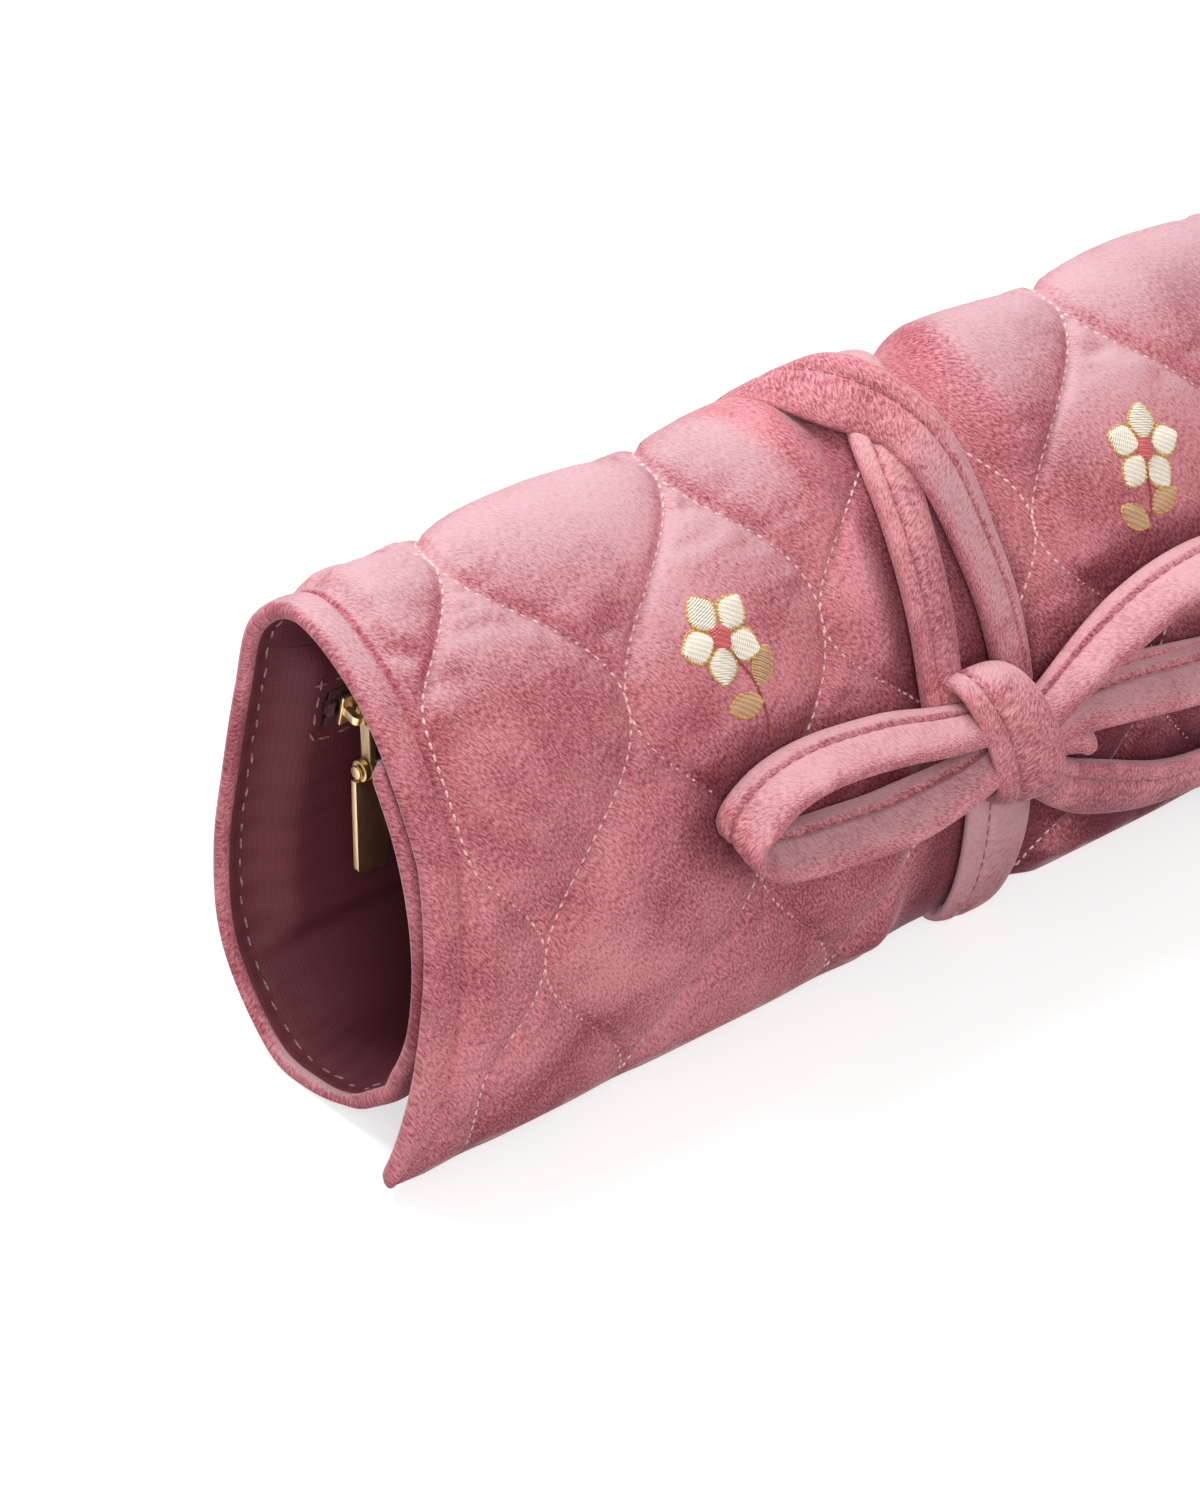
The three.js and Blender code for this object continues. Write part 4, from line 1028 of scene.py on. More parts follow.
def pocket_bulge(u, b):
    sideways = 1 - smooth((np.abs(u) - POCKET_HALF) / POCKET_RAMP)
    along = smooth((b - POCKET_TOP) / POCKET_STEP + 1) * smooth((POCKET_FOOT - b) / POCKET_STEP + 1)
    return POCKET_DEPTH * sideways * along


def zip_window(u, b):
    from_rim = np.minimum(ZIP_HALF + WINDOW_END - np.abs(u), WINDOW_HALF - np.abs(b - ZIP))
    return WINDOW_SINK * smooth(from_rim / WINDOW_WALL + 0.5)


def puckers(u, b, edge):
    """Small waves along the edge that die out away from the sewing line."""
    wobble = np.sin(u / PUCKER_WOBBLE_ACROSS) + np.sin(b / PUCKER_WOBBLE_ALONG + 1)
    along = np.where(HALF - np.abs(u) < edge + 1e-6, b, u)
    wave = np.sin(2 * np.pi * along / PUCKER_PITCH + PUCKER_WOBBLE * wobble)
    fade = np.exp(-np.abs(edge - LINING_STITCH) / PUCKER_REACH)
    return wave * fade * smooth(edge / LINING_STITCH - 0.3)


def soft_folds(u, b, edge):
    """Broad slanting folds where the lining hangs free of the pocket."""
    wobble = np.sin(u / FOLD_WOBBLE_ACROSS + b / FOLD_WOBBLE_ALONG)
    slant = 2 * np.pi * (FOLD_SLANT[0] * u + FOLD_SLANT[1] * b) / FOLD_PITCH + FOLD_WOBBLE * wobble
    free = smooth(edge / EDGE_RUN - 0.5) * (1 - pocket_bulge(u, b) / POCKET_DEPTH)
    return (1 - np.cos(slant)) / 2 * free


def lining_piece(name, low, high, ends, seam_row):
    half = HALF - LINING_FROM_EDGE
    tip = low + LINING_FROM_EDGE if ends[0] == "edge" else low
    end = high - LINING_FROM_EDGE if ends[1] == "edge" else high
    columns = stations(-half, half, GRID, ("edge", "edge"), LINING_THICKNESS / 2)
    rows = stations(tip, end, GRID, ends, LINING_THICKNESS / 2)
    limits = (tip if ends[0] == "edge" else -np.inf, end if ends[1] == "edge" else np.inf)
    u, b, edge = sheet_grid(columns, rows, half, *limits)
    half_thick = LINING_THICKNESS / 2 * round_off(2 * edge / LINING_THICKNESS)
    from_edge = edge + LINING_FROM_EDGE
    middle = LINING_THICKNESS / 2 - sheet_depth(from_edge) - pocket_bulge(u, b) + zip_window(u, b)
    middle -= PUCKER_DEPTH * puckers(u, b, from_edge) + FOLD_DEPTH * soft_folds(u, b, from_edge)
    middle += STITCH_PULL * np.exp(-((from_edge - LINING_STITCH) / STITCH_PULL_HALF) ** 2)
    outer = on_sheet(u, b, middle + half_thick)
    inner = on_sheet(u, b, middle - half_thick)
    return closed_sheet(name, outer, inner, edge, np.stack([u, b], -1), seam_row, lining_satin)


lining_flap = lining_piece("lining_flap", FLAP_TIP, SEAM, ("edge", "seam"), -1)
lining_roll = lining_piece("lining_roll", SEAM, SHEET_END, ("seam", "edge"), 0)
for piece, body, low, high in (
    (lining_flap, "flap", FLAP_TIP, SEAM), (lining_roll, "roll", SEAM, SHEET_END),
):
    carry(piece, body)
    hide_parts(f"{body}_lining")

# %% [markdown]
# ## Stitches
#
# A sewing line is a row of short threads, each a little askew. Geometry Nodes repeat one small thread
# along any line of points, so that pitch, length and thickness are inputs and not modelling work.
# The result is turned into a plain mesh, because instances don't leave Blender with the model.

# %% A tree that sews along lines
def geometry_tree(name, inputs):
    tree = bpy.data.node_groups.new(name, "GeometryNodeTree")
    tree.interface.new_socket("Geometry", in_out="INPUT", socket_type="NodeSocketGeometry")
    for label, kind in inputs:
        tree.interface.new_socket(label, in_out="INPUT", socket_type=f"NodeSocket{kind}")
    tree.interface.new_socket("Geometry", in_out="OUTPUT", socket_type="NodeSocketGeometry")
    return tree, tree.nodes.new("NodeGroupInput"), tree.nodes.new("NodeGroupOutput")


def finish_tree(tree, given, out, geometry):
    """Ends a tree: real faces, shaded smooth, with the material that was given."""
    realize = link_node(tree, "GeometryNodeRealizeInstances", {"Geometry": geometry})
    shaded = link_node(tree, "GeometryNodeSetShadeSmooth", {"Geometry": realize.outputs["Geometry"]})
    painted = link_node(tree, "GeometryNodeSetMaterial", {
        "Geometry": shaded.outputs["Geometry"], "Material": given.outputs["Material"],
    })
    tree.links.new(painted.outputs["Geometry"], out.inputs["Geometry"])


def sewing_tree():
    tree, given, out = geometry_tree("sewing_line", [
        ("Pitch", "Float"), ("Length", "Float"), ("Thickness", "Float"), ("Askew", "Float"),
        ("Material", "Material"),
    ])
    line = link_node(tree, "GeometryNodeMeshToCurve", {"Mesh": given.outputs["Geometry"]})
    points = link_node(tree, "GeometryNodeResampleCurve", {
        "Curve": line.outputs["Curve"], "Length": given.outputs["Pitch"],
    }, mode="LENGTH")
    bead = link_node(tree, "GeometryNodeMeshUVSphere", {"Segments": 6, "Rings": 5, "Radius": 0.5})
    askew = link_node(tree, "FunctionNodeRandomValue", {
        "Min": (-1, -1, -1), "Max": (1, 1, 1), "Seed": 7,
    }, data_type="FLOAT_VECTOR")
    lean = link_node(tree, "ShaderNodeVectorMath", {
        0: askew.outputs[0], "Scale": given.outputs["Askew"],
    }, operation="SCALE")
    tangent = tree.nodes.new("GeometryNodeInputTangent")
    heading = link_node(tree, "ShaderNodeVectorMath", {
        0: tangent.outputs[0], 1: lean.outputs[0],
    }, operation="ADD")
    turned = link_node(tree, "FunctionNodeAlignRotationToVector", {"Vector": heading.outputs[0]}, axis="Z")
    size = link_node(tree, "ShaderNodeCombineXYZ", {
        "X": given.outputs["Thickness"], "Y": given.outputs["Thickness"], "Z": given.outputs["Length"],
    })
    placed = link_node(tree, "GeometryNodeInstanceOnPoints", {
        "Points": points.outputs["Curve"], "Instance": bead.outputs["Mesh"],
        "Rotation": turned.outputs["Rotation"], "Scale": size.outputs["Vector"],
    })
    finish_tree(tree, given, out, placed.outputs["Instances"])
    return tree


def line_object(name, lines):
    """A bare mesh of edges through each line's points, for a tree to work on."""
    edges = []
    count = 0
    for points in lines:
        edges += [(count + i, count + i + 1) for i in range(len(points) - 1)]
        count += len(points)
    mesh = bpy.data.meshes.new(name)
    mesh.from_pydata(np.vstack(lines).tolist(), edges, [])
    return add_object(name, mesh)


def keep_made(thing):
    """Keeps what an object's modifiers make as its own plain mesh."""
    graph = bpy.context.evaluated_depsgraph_get()
    made = bpy.data.meshes.new_from_object(thing.evaluated_get(graph))
    thing.modifiers.clear()
    thing.data = made


def grow(thing, tree, values):
    """Runs a tree on an object and keeps what it makes."""
    modifier = thing.modifiers.new("grow", "NODES")
    modifier.node_group = tree
    for item in tree.interface.items_tree:
        if item.in_out == "INPUT" and item.name in values:
            modifier[item.identifier] = values[item.name]
    keep_made(thing)
    return thing


def above_table(lines, least):
    return [np.column_stack([line[:, :2], np.maximum(line[:, 2], least)]) for line in lines]


SEWING = sewing_tree()


def sew(name, lines, pitch, length, thickness, material, askew=0.12):
    """Stitches along lines of points, kept above the table."""
    thing = line_object(name, above_table(lines, thickness / 2 + askew * length / 2))
    return grow(thing, SEWING, {
        "Pitch": pitch, "Length": length, "Thickness": thickness, "Askew": askew, "Material": material,
    })


print("sewing tree:", len(SEWING.nodes), "nodes")

# %% [markdown]
# ## Sewing lines of the quilt
#
# Pale thread lies in every groove of the quilting, thicker thread in the groove along the turned
# edge, and a fine one holds the lining. Each body of the object gets its own stitches.

# %% Stitches on velvet and lining
QUILT_STITCHES = {"pitch": 2.0 * MM, "length": 1.3 * MM, "thickness": 0.55 * MM}
EDGE_STITCHES = {"pitch": 2.9 * MM, "length": 2.2 * MM, "thickness": 0.6 * MM}
HEM_STITCHES = {"pitch": 4.0 * MM, "length": 2.5 * MM, "thickness": 0.45 * MM}
QUILT_FROM_END = 5 * MM
STITCH_RISE = 0.05 * MM
LINE_STEP = 0.6 * MM
CORNER_STEPS = 8
LEAST_RADIUS = 1 * MM
TIP_SEAM = FLAP_TIP + 32 * MM


def split_where(keep, *arrays):
    """The stretches of some arrays where keep is true, leaving out the shortest."""
    bounds = np.flatnonzero(np.diff(keep.astype(int))) + 1
    pieces = np.split(np.arange(len(keep)), bounds)
    return [[a[p] for a in arrays] for p in pieces if keep[p[0]] and len(p) > 3]


def quilt_sewing(low, high):
    lines = []
    for k in QUILT_LINES:
        b = np.arange(low, high, LINE_STEP)
        u = quilt_line(k, b)
        edge = np.minimum(HALF - np.abs(u) - rim_width(b), from_ends(b) - QUILT_FROM_END)
        for part_u, part_b, part_edge in split_where(edge > 0, u, b, edge + RIM_WIDTH):
            rise = velvet_rise(part_u, part_b, part_edge) + STITCH_RISE
            lines.append(on_sheet(part_u, part_b, rise))
    return lines


def edge_path(low, high, from_edge):
    """A line round the sheet at a distance from its edge, on the sides and round an end's corners."""
    radius = max(CORNER - from_edge, LEAST_RADIUS)
    turn = np.linspace(0, np.pi / 2, CORNER_STEPS)
    side = HALF - from_edge
    start = low + from_edge
    corner = np.stack([side - radius * (1 - np.sin(turn)), start + radius * (1 - np.cos(turn))], -1)
    straight = np.arange(start + radius, high, LINE_STEP)
    edge = np.vstack([corner, np.stack([np.full(len(straight), side), straight], -1)])
    across = np.arange(-side + radius, side - radius, LINE_STEP)
    foot = np.stack([across, np.full(len(across), start)], -1)
    return np.vstack([edge[::-1] * (-1, 1), foot, edge])


def rim_sewing(low, high):
    """The seam in the groove of the turned edge, at both ends of the roll."""
    b = np.arange(max(low, FLAP_TIP + EDGE_LIP), min(high, SHEET_END - EDGE_LIP), LINE_STEP)
    u = HALF - rim_width(b)
    rise = velvet_rise(u, b, np.full(len(b), RIM_WIDTH)) + STITCH_RISE
    return [on_sheet(side * u, b, rise) for side in (-1, 1)]


def in_lining_groove(u, b):
    pull = STITCH_PULL - PUCKER_DEPTH * puckers(u, b, np.full(len(u), LINING_STITCH))
    return pull - sheet_depth(LINING_STITCH) - pocket_bulge(u, b) - STITCH_RISE


def hem_sewing(path):
    """The seam that holds the lining, along a path round its edge."""
    u, b = path.T
    return [on_sheet(u, b, in_lining_groove(u, b))]


flap_hem = hem_sewing(edge_path(FLAP_TIP, SEAM, LINING_STITCH))
roll_hem = hem_sewing(edge_path(-SHEET_END, -SEAM, LINING_STITCH) * (1, -1))
for name, body, lines, stitches, material, slot_name in (
    ("quilting_flap", "flap", quilt_sewing(FLAP_TIP, SEAM), QUILT_STITCHES, pale_thread, "velvet"),
    ("quilting_roll", "roll", quilt_sewing(SEAM, SHEET_END), QUILT_STITCHES, pale_thread, "velvet"),
    ("tip_seam_flap", "flap", rim_sewing(FLAP_TIP, TIP_SEAM), EDGE_STITCHES, pale_thread, "velvet"),
    ("rim_seam_flap", "flap", rim_sewing(TIP_SEAM, SEAM), EDGE_STITCHES, rose_thread, "velvet"),
    ("rim_seam_roll", "roll", rim_sewing(SEAM, SHEET_END), EDGE_STITCHES, rose_thread, "velvet"),
    ("hem_flap", "flap", flap_hem, HEM_STITCHES, mauve_thread, "satin_lining"),
    ("hem_roll", "roll", roll_hem, HEM_STITCHES, mauve_thread, "satin_lining"),
):
    piece = sew(name, lines, **stitches, material=material)
    carry(piece, body)
    print(name, len(piece.data.polygons), "faces")

# %% [markdown]
# ## Embroidered sprigs
#
# Some cells carry a small flower in satin stitch: threads laid side by side across each petal, with a
# row of gold stitches round it. Every thread is a tube along a short arched line, which a second tree
# makes, so that the light plays on real threads and not on a picture of them.

# %% A tree that lays threads
def thread_tree():
    tree, given, out = geometry_tree("laid_threads", [("Thickness", "Float"), ("Material", "Material")])
    line = link_node(tree, "GeometryNodeMeshToCurve", {"Mesh": given.outputs["Geometry"]})
    radius = math_node(tree, "MULTIPLY", given.outputs["Thickness"], 0.5)
    ring = link_node(tree, "GeometryNodeCurvePrimitiveCircle", {"Resolution": 5, "Radius": radius})
    tube = link_node(tree, "GeometryNodeCurveToMesh", {
        "Curve": line.outputs["Curve"], "Profile Curve": ring.outputs["Curve"], "Fill Caps": True,
    })
    finish_tree(tree, given, out, tube.outputs["Mesh"])
    return tree


LAYING = thread_tree()


def lay(name, lines, thickness, material):
    """Threads laid along lines of points, kept above the table."""
    thing = line_object(name, above_table(lines, thickness / 2))
    return grow(thing, LAYING, {"Thickness": thickness, "Material": material})


print("thread tree:", len(LAYING.nodes), "nodes")

# %% [markdown]
# ## One sprig
#
# A sprig is drawn flat in millimetres, the flower's centre at the origin and the stem hanging from it.
# Petals and leaves are the same almond shape, only the size, the place and the turn differ.

# %% The drawing of a sprig
PETALS = 5
PETAL_FROM = 1.6
PETAL_LONG = 6.2
PETAL_HALF = 2.5
LEAF_LONG = 7.0
LEAF_HALF = 1.7
CENTRE = 1.9
STEM = [(0, -4), (0.5, -9), (-0.3, -14), (-1.8, -19)]
LEAVES = [(0.4, -10.5, -1.0), (0.0, -13, 1.1)]
LAID_PITCH = 0.42
LAID_RISE = 0.45
LAID_END = 0.1
RIM_OUT = 0.25
RIM_SHARE = 0.25
STEM_SHARE = 0.3
CENTRE_SHARE = 2
ALMOND_TURN = 0.8
ALMOND_STEPS = 24


def turned(points, angle):
    c, s = math.cos(angle), math.sin(angle)
    return np.asarray(points) @ np.array([[c, s], [-s, c]])


def almond_half(share, half):
    return half * np.sin(np.pi * np.clip(share, 0, 1)) ** ALMOND_TURN


def almond(start, angle, length, half):
    """Threads (x, y, rise) across an almond shape and the line round it, from its start outwards."""
    threads = []
    for way in np.arange(LAID_PITCH, length - LAID_PITCH / 2, LAID_PITCH):
        side = almond_half(way / length, half)
        across = np.array([(-side, way), (-0.5 * side, way), (0.5 * side, way), (side, way)])
        rise = np.array([LAID_END, 1, 1, LAID_END]) * LAID_RISE
        threads.append(np.column_stack([turned(across, angle) + start, rise]))
    share = np.linspace(0, 1, ALMOND_STEPS)
    one_side = np.column_stack([almond_half(share, half + RIM_OUT), share * length])
    rim = np.vstack([one_side * (-1, 1), one_side[::-1]])
    return threads, np.column_stack([turned(rim, angle) + start, np.full(len(rim), RIM_SHARE * LAID_RISE)])


def sprig_drawing():
    """Lines of one sprig by thread: white petals, tan leaves, gold rims, coral centre, brown stem."""
    drawing = {"white": [], "tan": [], "gold": [], "coral": [], "brown": []}
    for angle in np.arange(PETALS) * 2 * np.pi / PETALS:
        threads, rim = almond(turned((0, PETAL_FROM), angle), angle, PETAL_LONG, PETAL_HALF)
        drawing["white"] += threads
        drawing["gold"].append(rim)
    for x, y, angle in LEAVES:
        threads, rim = almond((x, y), angle, LEAF_LONG, LEAF_HALF)
        drawing["tan"] += threads
        drawing["gold"].append(rim)
    for way in np.arange(-CENTRE + LAID_PITCH / 2, CENTRE, LAID_PITCH):
        side = math.sqrt(CENTRE ** 2 - way ** 2)
        high = CENTRE_SHARE * LAID_RISE
        drawing["coral"].append(np.array([
            (-side, way, LAID_END), (-side / 2, way, high), (side / 2, way, high), (side, way, LAID_END),
        ]))
    stem = spline(STEM, 10)
    drawing["brown"].append(np.column_stack([stem, np.full(len(stem), STEM_SHARE * LAID_RISE)]))
    return drawing


SPRIG = sprig_drawing()
print("one sprig:", {name: len(lines) for name, lines in SPRIG.items()}, "lines")

# %% [markdown]
# ## Sprigs on the quilt
#
# The sprigs stand in the middle of some cells, in a sparse half-drop repeat as on printed cloth. Each
# point of the drawing is set on the swollen velvet, so that the threads follow the quilt.

# %% Sprigs on flap and roll
FIRST_ROW = TOP - QUILT_PHASE
SPRIG_CELLS = [
    (1, 0, 0.35), (5, 0, -0.3), (-1, 1, 0.3), (3, 1, -0.25), (7, 1, 0.4), (1, 2, -0.3), (5, 2, 0.3),
]
SPRIG_UP = (0, 5)
LAID_THREAD = 0.46 * MM
RIM_STITCHES = {"pitch": 0.95 * MM, "length": 1.1 * MM, "thickness": 0.5 * MM}
STEM_STITCHES = {"pitch": 0.95 * MM, "length": 1.43 * MM, "thickness": 0.6 * MM}


def on_cell(line, k, row, angle):
    """Places in space of a line of the drawing, in the cell right of quilting line k."""
    b = FIRST_ROW + row * CELL_HEIGHT
    middle = np.array([(quilt_line(k, b) + quilt_line(k + 1, b)) / 2, b])
    u, way = (middle + turned(line[:, :2] + SPRIG_UP, angle) * MM).T
    rise = velvet_rise(u, way, HALF - np.abs(u)) + line[:, 2] * MM
    return on_sheet(u, way, rise)


def on_flap(cell):
    return FIRST_ROW + cell[1] * CELL_HEIGHT < SEAM


def add_sprigs(body, cells):
    """The sprigs of one body, a piece for each kind of thread."""
    def everywhere(name):
        return [on_cell(line, *cell) for cell in cells for line in SPRIG[name]]

    return [
        lay(f"petals_{body}", everywhere("white"), LAID_THREAD, white_thread),
        lay(f"leaves_{body}", everywhere("tan"), LAID_THREAD, tan_thread),
        lay(f"centres_{body}", everywhere("coral"), LAID_THREAD, coral_thread),
        sew(f"petal_rims_{body}", everywhere("gold"), **RIM_STITCHES, material=gold_thread),
        sew(f"stems_{body}", everywhere("brown"), **STEM_STITCHES, material=brown_thread),
    ]


for body in ("flap", "roll"):
    cells = [cell for cell in SPRIG_CELLS if on_flap(cell) == (body == "flap")]
    for piece in add_sprigs(body, cells):
        carry(piece, body)
    print(body, "has", len(cells), "sprigs")

# %% [markdown]
# ## Strap
#
# The tie is a flat tube of velvet, turned and sewn down along a line near one edge. Its section is a
# soft flat oval with that groove, swept along a given path. A piece of strap lies flat on the roll or
# stands on its edge, as the direction across it says.

# %% Strap section and sweep
TIE_WIDTH = 11.5 * MM
TIE_THICKNESS = 3.6 * MM
TIE_GAP = 0.35 * MM
TIE_SEAM_AT = 0.36
TIE_SEAM_DEPTH = 0.5
TIE_SEAM_HALF = 0.09
TIE_SEAM_SUNK = 0.85
TIE_ROUND = (0.75, 0.8)
TIE_SWELL = 0.8
TIE_SWELL_RANGE = (0.85, 1.45)
CAP_END = 0.02
STRAP_SIDES = 96
STRAP_STEP = 1.2 * MM
END_STEPS = 5


def strap_section():
    """Points round the strap: across it from -1 to 1, and its height from -1 to 1."""
    a = np.linspace(0, 2 * np.pi, STRAP_SIDES, endpoint=False)
    w = np.sign(np.cos(a)) * np.abs(np.cos(a)) ** TIE_ROUND[0]
    h = np.sign(np.sin(a)) * np.abs(np.sin(a)) ** TIE_ROUND[1]
    dent = TIE_SEAM_DEPTH * np.exp(-((w - TIE_SEAM_AT) / TIE_SEAM_HALF) ** 2)
    return np.stack([w, h * (1 - dent)], -1)


SECTION = strap_section()


def strap_thickness(width):
    """Where a strap is drawn together it gets thicker."""
    return TIE_THICKNESS * np.clip((TIE_WIDTH / width) ** TIE_SWELL, *TIE_SWELL_RANGE)


def evenly(points, step, *others):
    """Points at even steps along a line, with other arrays taken along."""
    way = lengths(points)
    at = np.linspace(0, way[-1], max(8, int(round(way[-1] / step))))

    def taken(values):
        return np.stack([np.interp(at, way, column) for column in values.T], -1)

    return [taken(values) for values in (points, *others)]


def eased(points, passes):
    """A line with its kinks worn off, its ends kept."""
    points = points.copy()
    for _ in range(passes):
        points[1:-1] = (points[:-2] + 2 * points[1:-1] + points[2:]) / 4
    return points


def unit(v):
    return v / np.maximum(np.linalg.norm(v, axis=-1, keepdims=True), 1e-12)


def strap_frame(centres, across):
    tangent = unit(np.gradient(centres, axis=0))
    across = unit(across - tangent * (across * tangent).sum(-1, keepdims=True))
    return tangent, across, np.cross(across, tangent)


def sweep(name, centres, across, width, section=SECTION, thickness=None, painted_light_shift=0.0):
    """A strap along a line of points; its width and the shift of its painted highlight and shade may change
    on the way.
    """
    tangent, across, up = strap_frame(centres, across)
    width = np.broadcast_to(width, len(centres))
    if thickness is None:
        thickness = strap_thickness(width)
    thickness = np.broadcast_to(thickness, len(centres))
    wide = across[:, None] * section[:, :1] * width[:, None, None] / 2
    high = up[:, None] * section[:, 1:] * thickness[:, None, None] / 2
    rings = centres[:, None] + wide + high
    turn = np.linspace(0, np.pi / 2, END_STEPS + 1)[1:, None, None]

    def cap(end, heading):
        """Rings that close one end of the strap in a round."""
        smaller = (rings[end] - centres[end]) * np.maximum(np.cos(turn), CAP_END)
        return centres[end] + smaller + heading * np.sin(turn) * thickness[end] / 2

    rings = np.concatenate([cap(0, -tangent[0])[::-1], rings, cap(-1, tangent[-1])])
    count = len(rings)
    index = np.arange(count * STRAP_SIDES).reshape(count, STRAP_SIDES)
    after = np.roll(index, -1, axis=1)
    faces = np.stack([index[:-1], index[1:], after[1:], after[:-1]], -1).reshape(-1, 4).tolist()
    faces += [index[0].tolist(), index[-1][::-1].tolist()]
    points = rings.reshape(-1, 3)
    points[:, 2] = np.maximum(points[:, 2], 0)
    faces = outwards(points, faces)
    way = lengths(rings.mean(1))
    round_strap = np.arange(STRAP_SIDES) / STRAP_SIDES * 2 * (TIE_WIDTH + TIE_THICKNESS)
    places = np.stack(np.broadcast_arrays(round_strap[None, :], way[:, None]), -1).reshape(-1, 2)
    painted_light_shift = np.pad(np.broadcast_to(painted_light_shift, len(centres)), END_STEPS, "edge")
    return keep_facing(add_mesh(name, points, faces, places, strap_velvet), np.repeat(painted_light_shift, STRAP_SIDES))


def seam_line(centres, across, width, side):
    """The sewn line in the strap's groove, on one of its two faces."""
    _, across, up = strap_frame(centres, across)
    width = np.broadcast_to(width, len(centres))
    depth = side * strap_thickness(width) / 2 * (1 - TIE_SEAM_DEPTH * TIE_SEAM_SUNK)
    return centres + across * (width * TIE_SEAM_AT / 2)[:, None] + up * depth[:, None]


print(f"strap: {TIE_WIDTH / MM} by {TIE_THICKNESS / MM} mm, {STRAP_SIDES} points round")

# %% [markdown]
# ## The strap round the roll
#
# One strand goes from behind the knot over the top, down the back, under the roll and up to the knot
# again. A second strand leaves the knot, crosses over the first, rolls over towards the front on the
# crest, and is sewn on behind.

# %% Two strands
BAND_ROUTE = [
    (45, -12.6, 8.5), (54, -13.4, 8.5), (67, -12.1, 9), (80, -11, 9.5), (92, -9.3, 10.5),
    (100, -6.5, 11), (108, -2.5, 11.5), (116, 0.5, 11.5), (126, 2.2, 11.5), (140, 2.5, 11.5),
    (180, 0, 11.5), (215, -1, 12.5), (231, -1, 14),
]
FRONT_ROUTE = [(0, 0.6, 14.5), (12, 1.8, 15), (25, 1, 15), (34, -0.2, 13.5), (42, -2.2, 11)]
BAND_END_ROUTE = [
    (50, 3.2, 7, 1.8), (57, 2.8, 7.6, 2.0), (66, 2.2, 8.4, 2.2), (76, 0.6, 9, 2.8), (86, -1, 9.8, 4.2),
    (94, -3, 10.8, 5.1), (100, -6, 12, 5.2), (105, -9.4, 13.5, 4.6), (108.5, -11.8, 14, 4.0),
    (111, -13.4, 14, 3.6), (114, -14.6, 13.5, 3.2), (119, -15.8, 12.5, 2.7), (127, -16.6, 11.5, 2.1),
    (138, -17.3, 11.5, 1.8), (152, -18, 11.5, 1.8),
]
# Shifts of the straps' painted highlight and shade: on the foot before the knot, and along the crossing
# strand.
FOOT_PAINTED_LIGHT = 1.15
END_PAINTED_LIGHT = ([0, 36, 54, 120], [0.45, 0.45, -0.35, -0.35])
FOOT_PAINTED_LIGHT_WAY = 42 * MM
FOOT_PAINTED_LIGHT_FADE = 14 * MM
CREST_LEAN = 0.62
CREST_LEAN_AT = 58 * MM
CREST_LEAN_HALF = 15 * MM
ACROSS_ROLL = np.array([1.0, 0.0, 0.0])
KNOT_PULL = 26 * MM
KNOT_PINCH = 0.72
ROUTE_STEPS = 24
EASING = 12
SEAT_PLACES = (-0.8, 0, 0.8)
OUT_STEP = 1 * MM
STRAP_STITCHES = {"pitch": 2.9 * MM, "length": 2.2 * MM, "thickness": 0.42 * MM}


def tie_seat(x, b):
    """Rise of the quilt under a strand."""
    return PUFF_HEIGHT * (1 - (1 - PUFF_UNDER_TIE) * waist_share(x)) - waist(x, b) + TIE_GAP


def seated(rows):
    """Adds the rise at which a strand of (way from the flap's tip, x, width) lies on the quilt."""
    way, x, width = np.array(rows, float).T * MM
    seats = [tie_seat(x + side * width / 2, FLAP_TIP + way) for side in SEAT_PLACES]
    return np.stack([way, x, width, np.max(seats, axis=0) + strap_thickness(width) / 2], -1) / MM


def with_outwards(x, way, rise):
    """Places over the roll at a way from the flap's tip, and the directions out of the roll there."""
    points = over_roll(x, FLAP_TIP + way, rise)
    return points, unit(over_roll(x, FLAP_TIP + way, rise + OUT_STEP) - points)


def strand(rows):
    """Middle points, outward directions and widths of a strand of (way, x, width, rise)."""
    way, x, width, rise = (spline(rows, ROUTE_STEPS) * MM).T
    return np.hstack([*with_outwards(x, way, rise), width[:, None]])


def strap_line(*strands):
    """One eased line through some strands, at even steps."""
    line = np.vstack(strands)
    points, rest = evenly(line[:, :3], STRAP_STEP, line[:, 3:])
    points, rest = evenly(eased(points, EASING), STRAP_STEP, eased(rest, EASING))
    return points, rest[:, :3], rest[:, 3]


def lying_across(points, out):
    """Direction across a strap that lies flat on the roll."""
    return np.cross(out, np.gradient(points, axis=0))


def pinched(centres, ends):
    """Strap width that is drawn together near the knot."""
    way = lengths(centres)
    near = np.full(len(centres), np.inf)
    if "start" in ends:
        near = np.minimum(near, way)
    if "finish" in ends:
        near = np.minimum(near, way[-1] - way)
    return TIE_WIDTH * (KNOT_PINCH + (1 - KNOT_PINCH) * smooth(near / KNOT_PULL))


ties = []


def add_strap(name, centres, across, width, node, painted_light_shift=0.0):
    """A strap in the place of a node, with the seam on both of its faces."""
    piece = sweep(name, centres, across, width, painted_light_shift=painted_light_shift)
    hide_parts(node)
    lines = [seam_line(centres, across, width, side) for side in (1, -1)]
    sewing = sew(f"{name}_seam", lines, **STRAP_STITCHES, material=rose_thread)
    ties.extend([piece, sewing])


band, out_band, width_band = strap_line(strand(seated(BAND_ROUTE)), strand(seated(FRONT_ROUTE)))
to_knot = lengths(band)[-1] - lengths(band)
